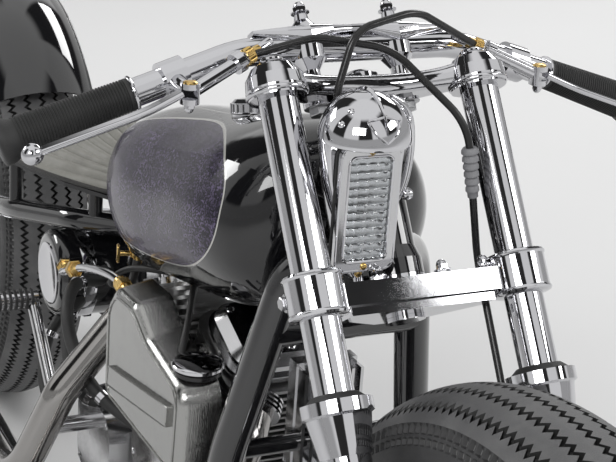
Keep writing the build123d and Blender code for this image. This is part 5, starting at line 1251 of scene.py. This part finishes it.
CAMERA_RIGHT, CAMERA_FORWARD = Vector((0.428, 0.901, 0.068)), Vector((-0.842, 0.425, -0.332))
turn_back = LEANED.to_3x3()
right = turn_back @ CAMERA_RIGHT.normalized()
forward = turn_back @ CAMERA_FORWARD.normalized()
right = (right - forward * right.dot(forward)).normalized()
above = right.cross(forward)
SENSOR_WIDTH = 36.0
PICTURE_WIDTH, FOCAL_PIXELS = 616.0, 1637.0
CAMERA_PLACE = Vector((1691, -681, 1190))
lens = bpy.data.cameras.new("camera")
lens.sensor_fit = "HORIZONTAL"
lens.sensor_width = SENSOR_WIDTH
lens.lens = SENSOR_WIDTH * FOCAL_PIXELS / PICTURE_WIDTH
lens.clip_end = 200.0
camera = add_object("camera", lens)
camera.matrix_world = Matrix((right, above, -forward)).transposed().to_4x4()
camera.location = ON_STAND @ CAMERA_PLACE
bpy.context.scene.camera = camera

FLOOR, tree, surface = new_finish("pale floor", (0.74, 0.74, 0.74), 0.0, 0.75, Specular_IOR_Level=0.1)
where = node(tree, "ShaderNodeTexCoord").outputs["Object"]
mottle = node(tree, "ShaderNodeTexNoise", {"Vector": where, "Scale": 2.0, "Detail": 4.0})
shade = blend_colour(tree, mottle.outputs["Fac"], (0.73, 0.73, 0.73, 1), (0.76, 0.76, 0.76, 1))
tree.links.new(shade, surface.inputs["Base Color"])
floor_mesh = bpy.data.meshes.new("floor")
around = [(40 * cos(2 * pi * k / 64), 40 * sin(2 * pi * k / 64), 0) for k in range(64)]
floor_mesh.from_pydata(around, [], [tuple(range(64))])
floor_mesh.materials.append(FLOOR)
floor = add_object("floor", floor_mesh)

# A studio all round: pale at the horizon, dark and bright panels higher up, a bright ceiling
world = bpy.data.worlds.new("studio")
bpy.context.scene.world = world
world.use_nodes = True
tree = world.node_tree
background = tree.nodes["Background"]
sky = node(tree, "ShaderNodeSeparateXYZ", {"Vector": node(tree, "ShaderNodeTexCoord").outputs["Generated"]})
bearing = calc(tree, "ARCTAN2", sky.outputs["Y"], sky.outputs["X"])
PANELS_ROUND, CEILING, HORIZON = 5.0, 1.5, 0.74
swing = calc(tree, "SINE", calc(tree, "ADD", calc(tree, "MULTIPLY", bearing, PANELS_ROUND), 0.6))
panels = ramp(tree, swing, -0.25, 0.1, 0.05, 1.35)
high = ramp(tree, sky.outputs["Z"], 0.80, 0.90)
wall = calc(tree, "MULTIPLY", panels, calc(tree, "SUBTRACT", 1.0, high))
wall = calc(tree, "ADD", wall, calc(tree, "MULTIPLY", high, CEILING))
low = ramp(tree, sky.outputs["Z"], 0.16, 0.24)
near_floor = calc(tree, "MULTIPLY", calc(tree, "SUBTRACT", 1.0, low), HORIZON)
level = calc(tree, "ADD", calc(tree, "MULTIPLY", wall, low), near_floor)
grey = node(tree, "ShaderNodeCombineColor", {"Red": level, "Green": level, "Blue": level})
tree.links.new(grey.outputs[0], background.inputs["Color"])
background.inputs["Strength"].default_value = 0.62

# place, what it looks at, width, height, watts
LAMPS = [
    ((3.2, -2.4, 3.0), (0.4, 0.0, 0.5), 2.2, 1.2, 70),
    ((2.6, 3.0, 2.6), (0.3, 0.0, 0.5), 1.8, 1.0, 42),
    ((-3.2, -2.4, 3.0), (-0.3, 0.0, 0.5), 2.0, 1.0, 52),
    ((-2.4, 3.2, 2.6), (-0.3, 0.0, 0.5), 2.0, 1.0, 42),
]
for count, (place, target, width, height, watts) in enumerate(LAMPS):
    light = bpy.data.lights.new(f"softbox_{count + 1}", "AREA")
    light.shape = "RECTANGLE"
    light.size, light.size_y, light.energy = width, height, watts
    lamp = add_object(light.name, light)
    lamp.matrix_world = (Vector(place) - Vector(target)).to_track_quat("Z", "Y").to_matrix().to_4x4()
    lamp.location = place
bpy.context.scene.view_settings.view_transform = "Standard"

bpy.context.view_layer.update()
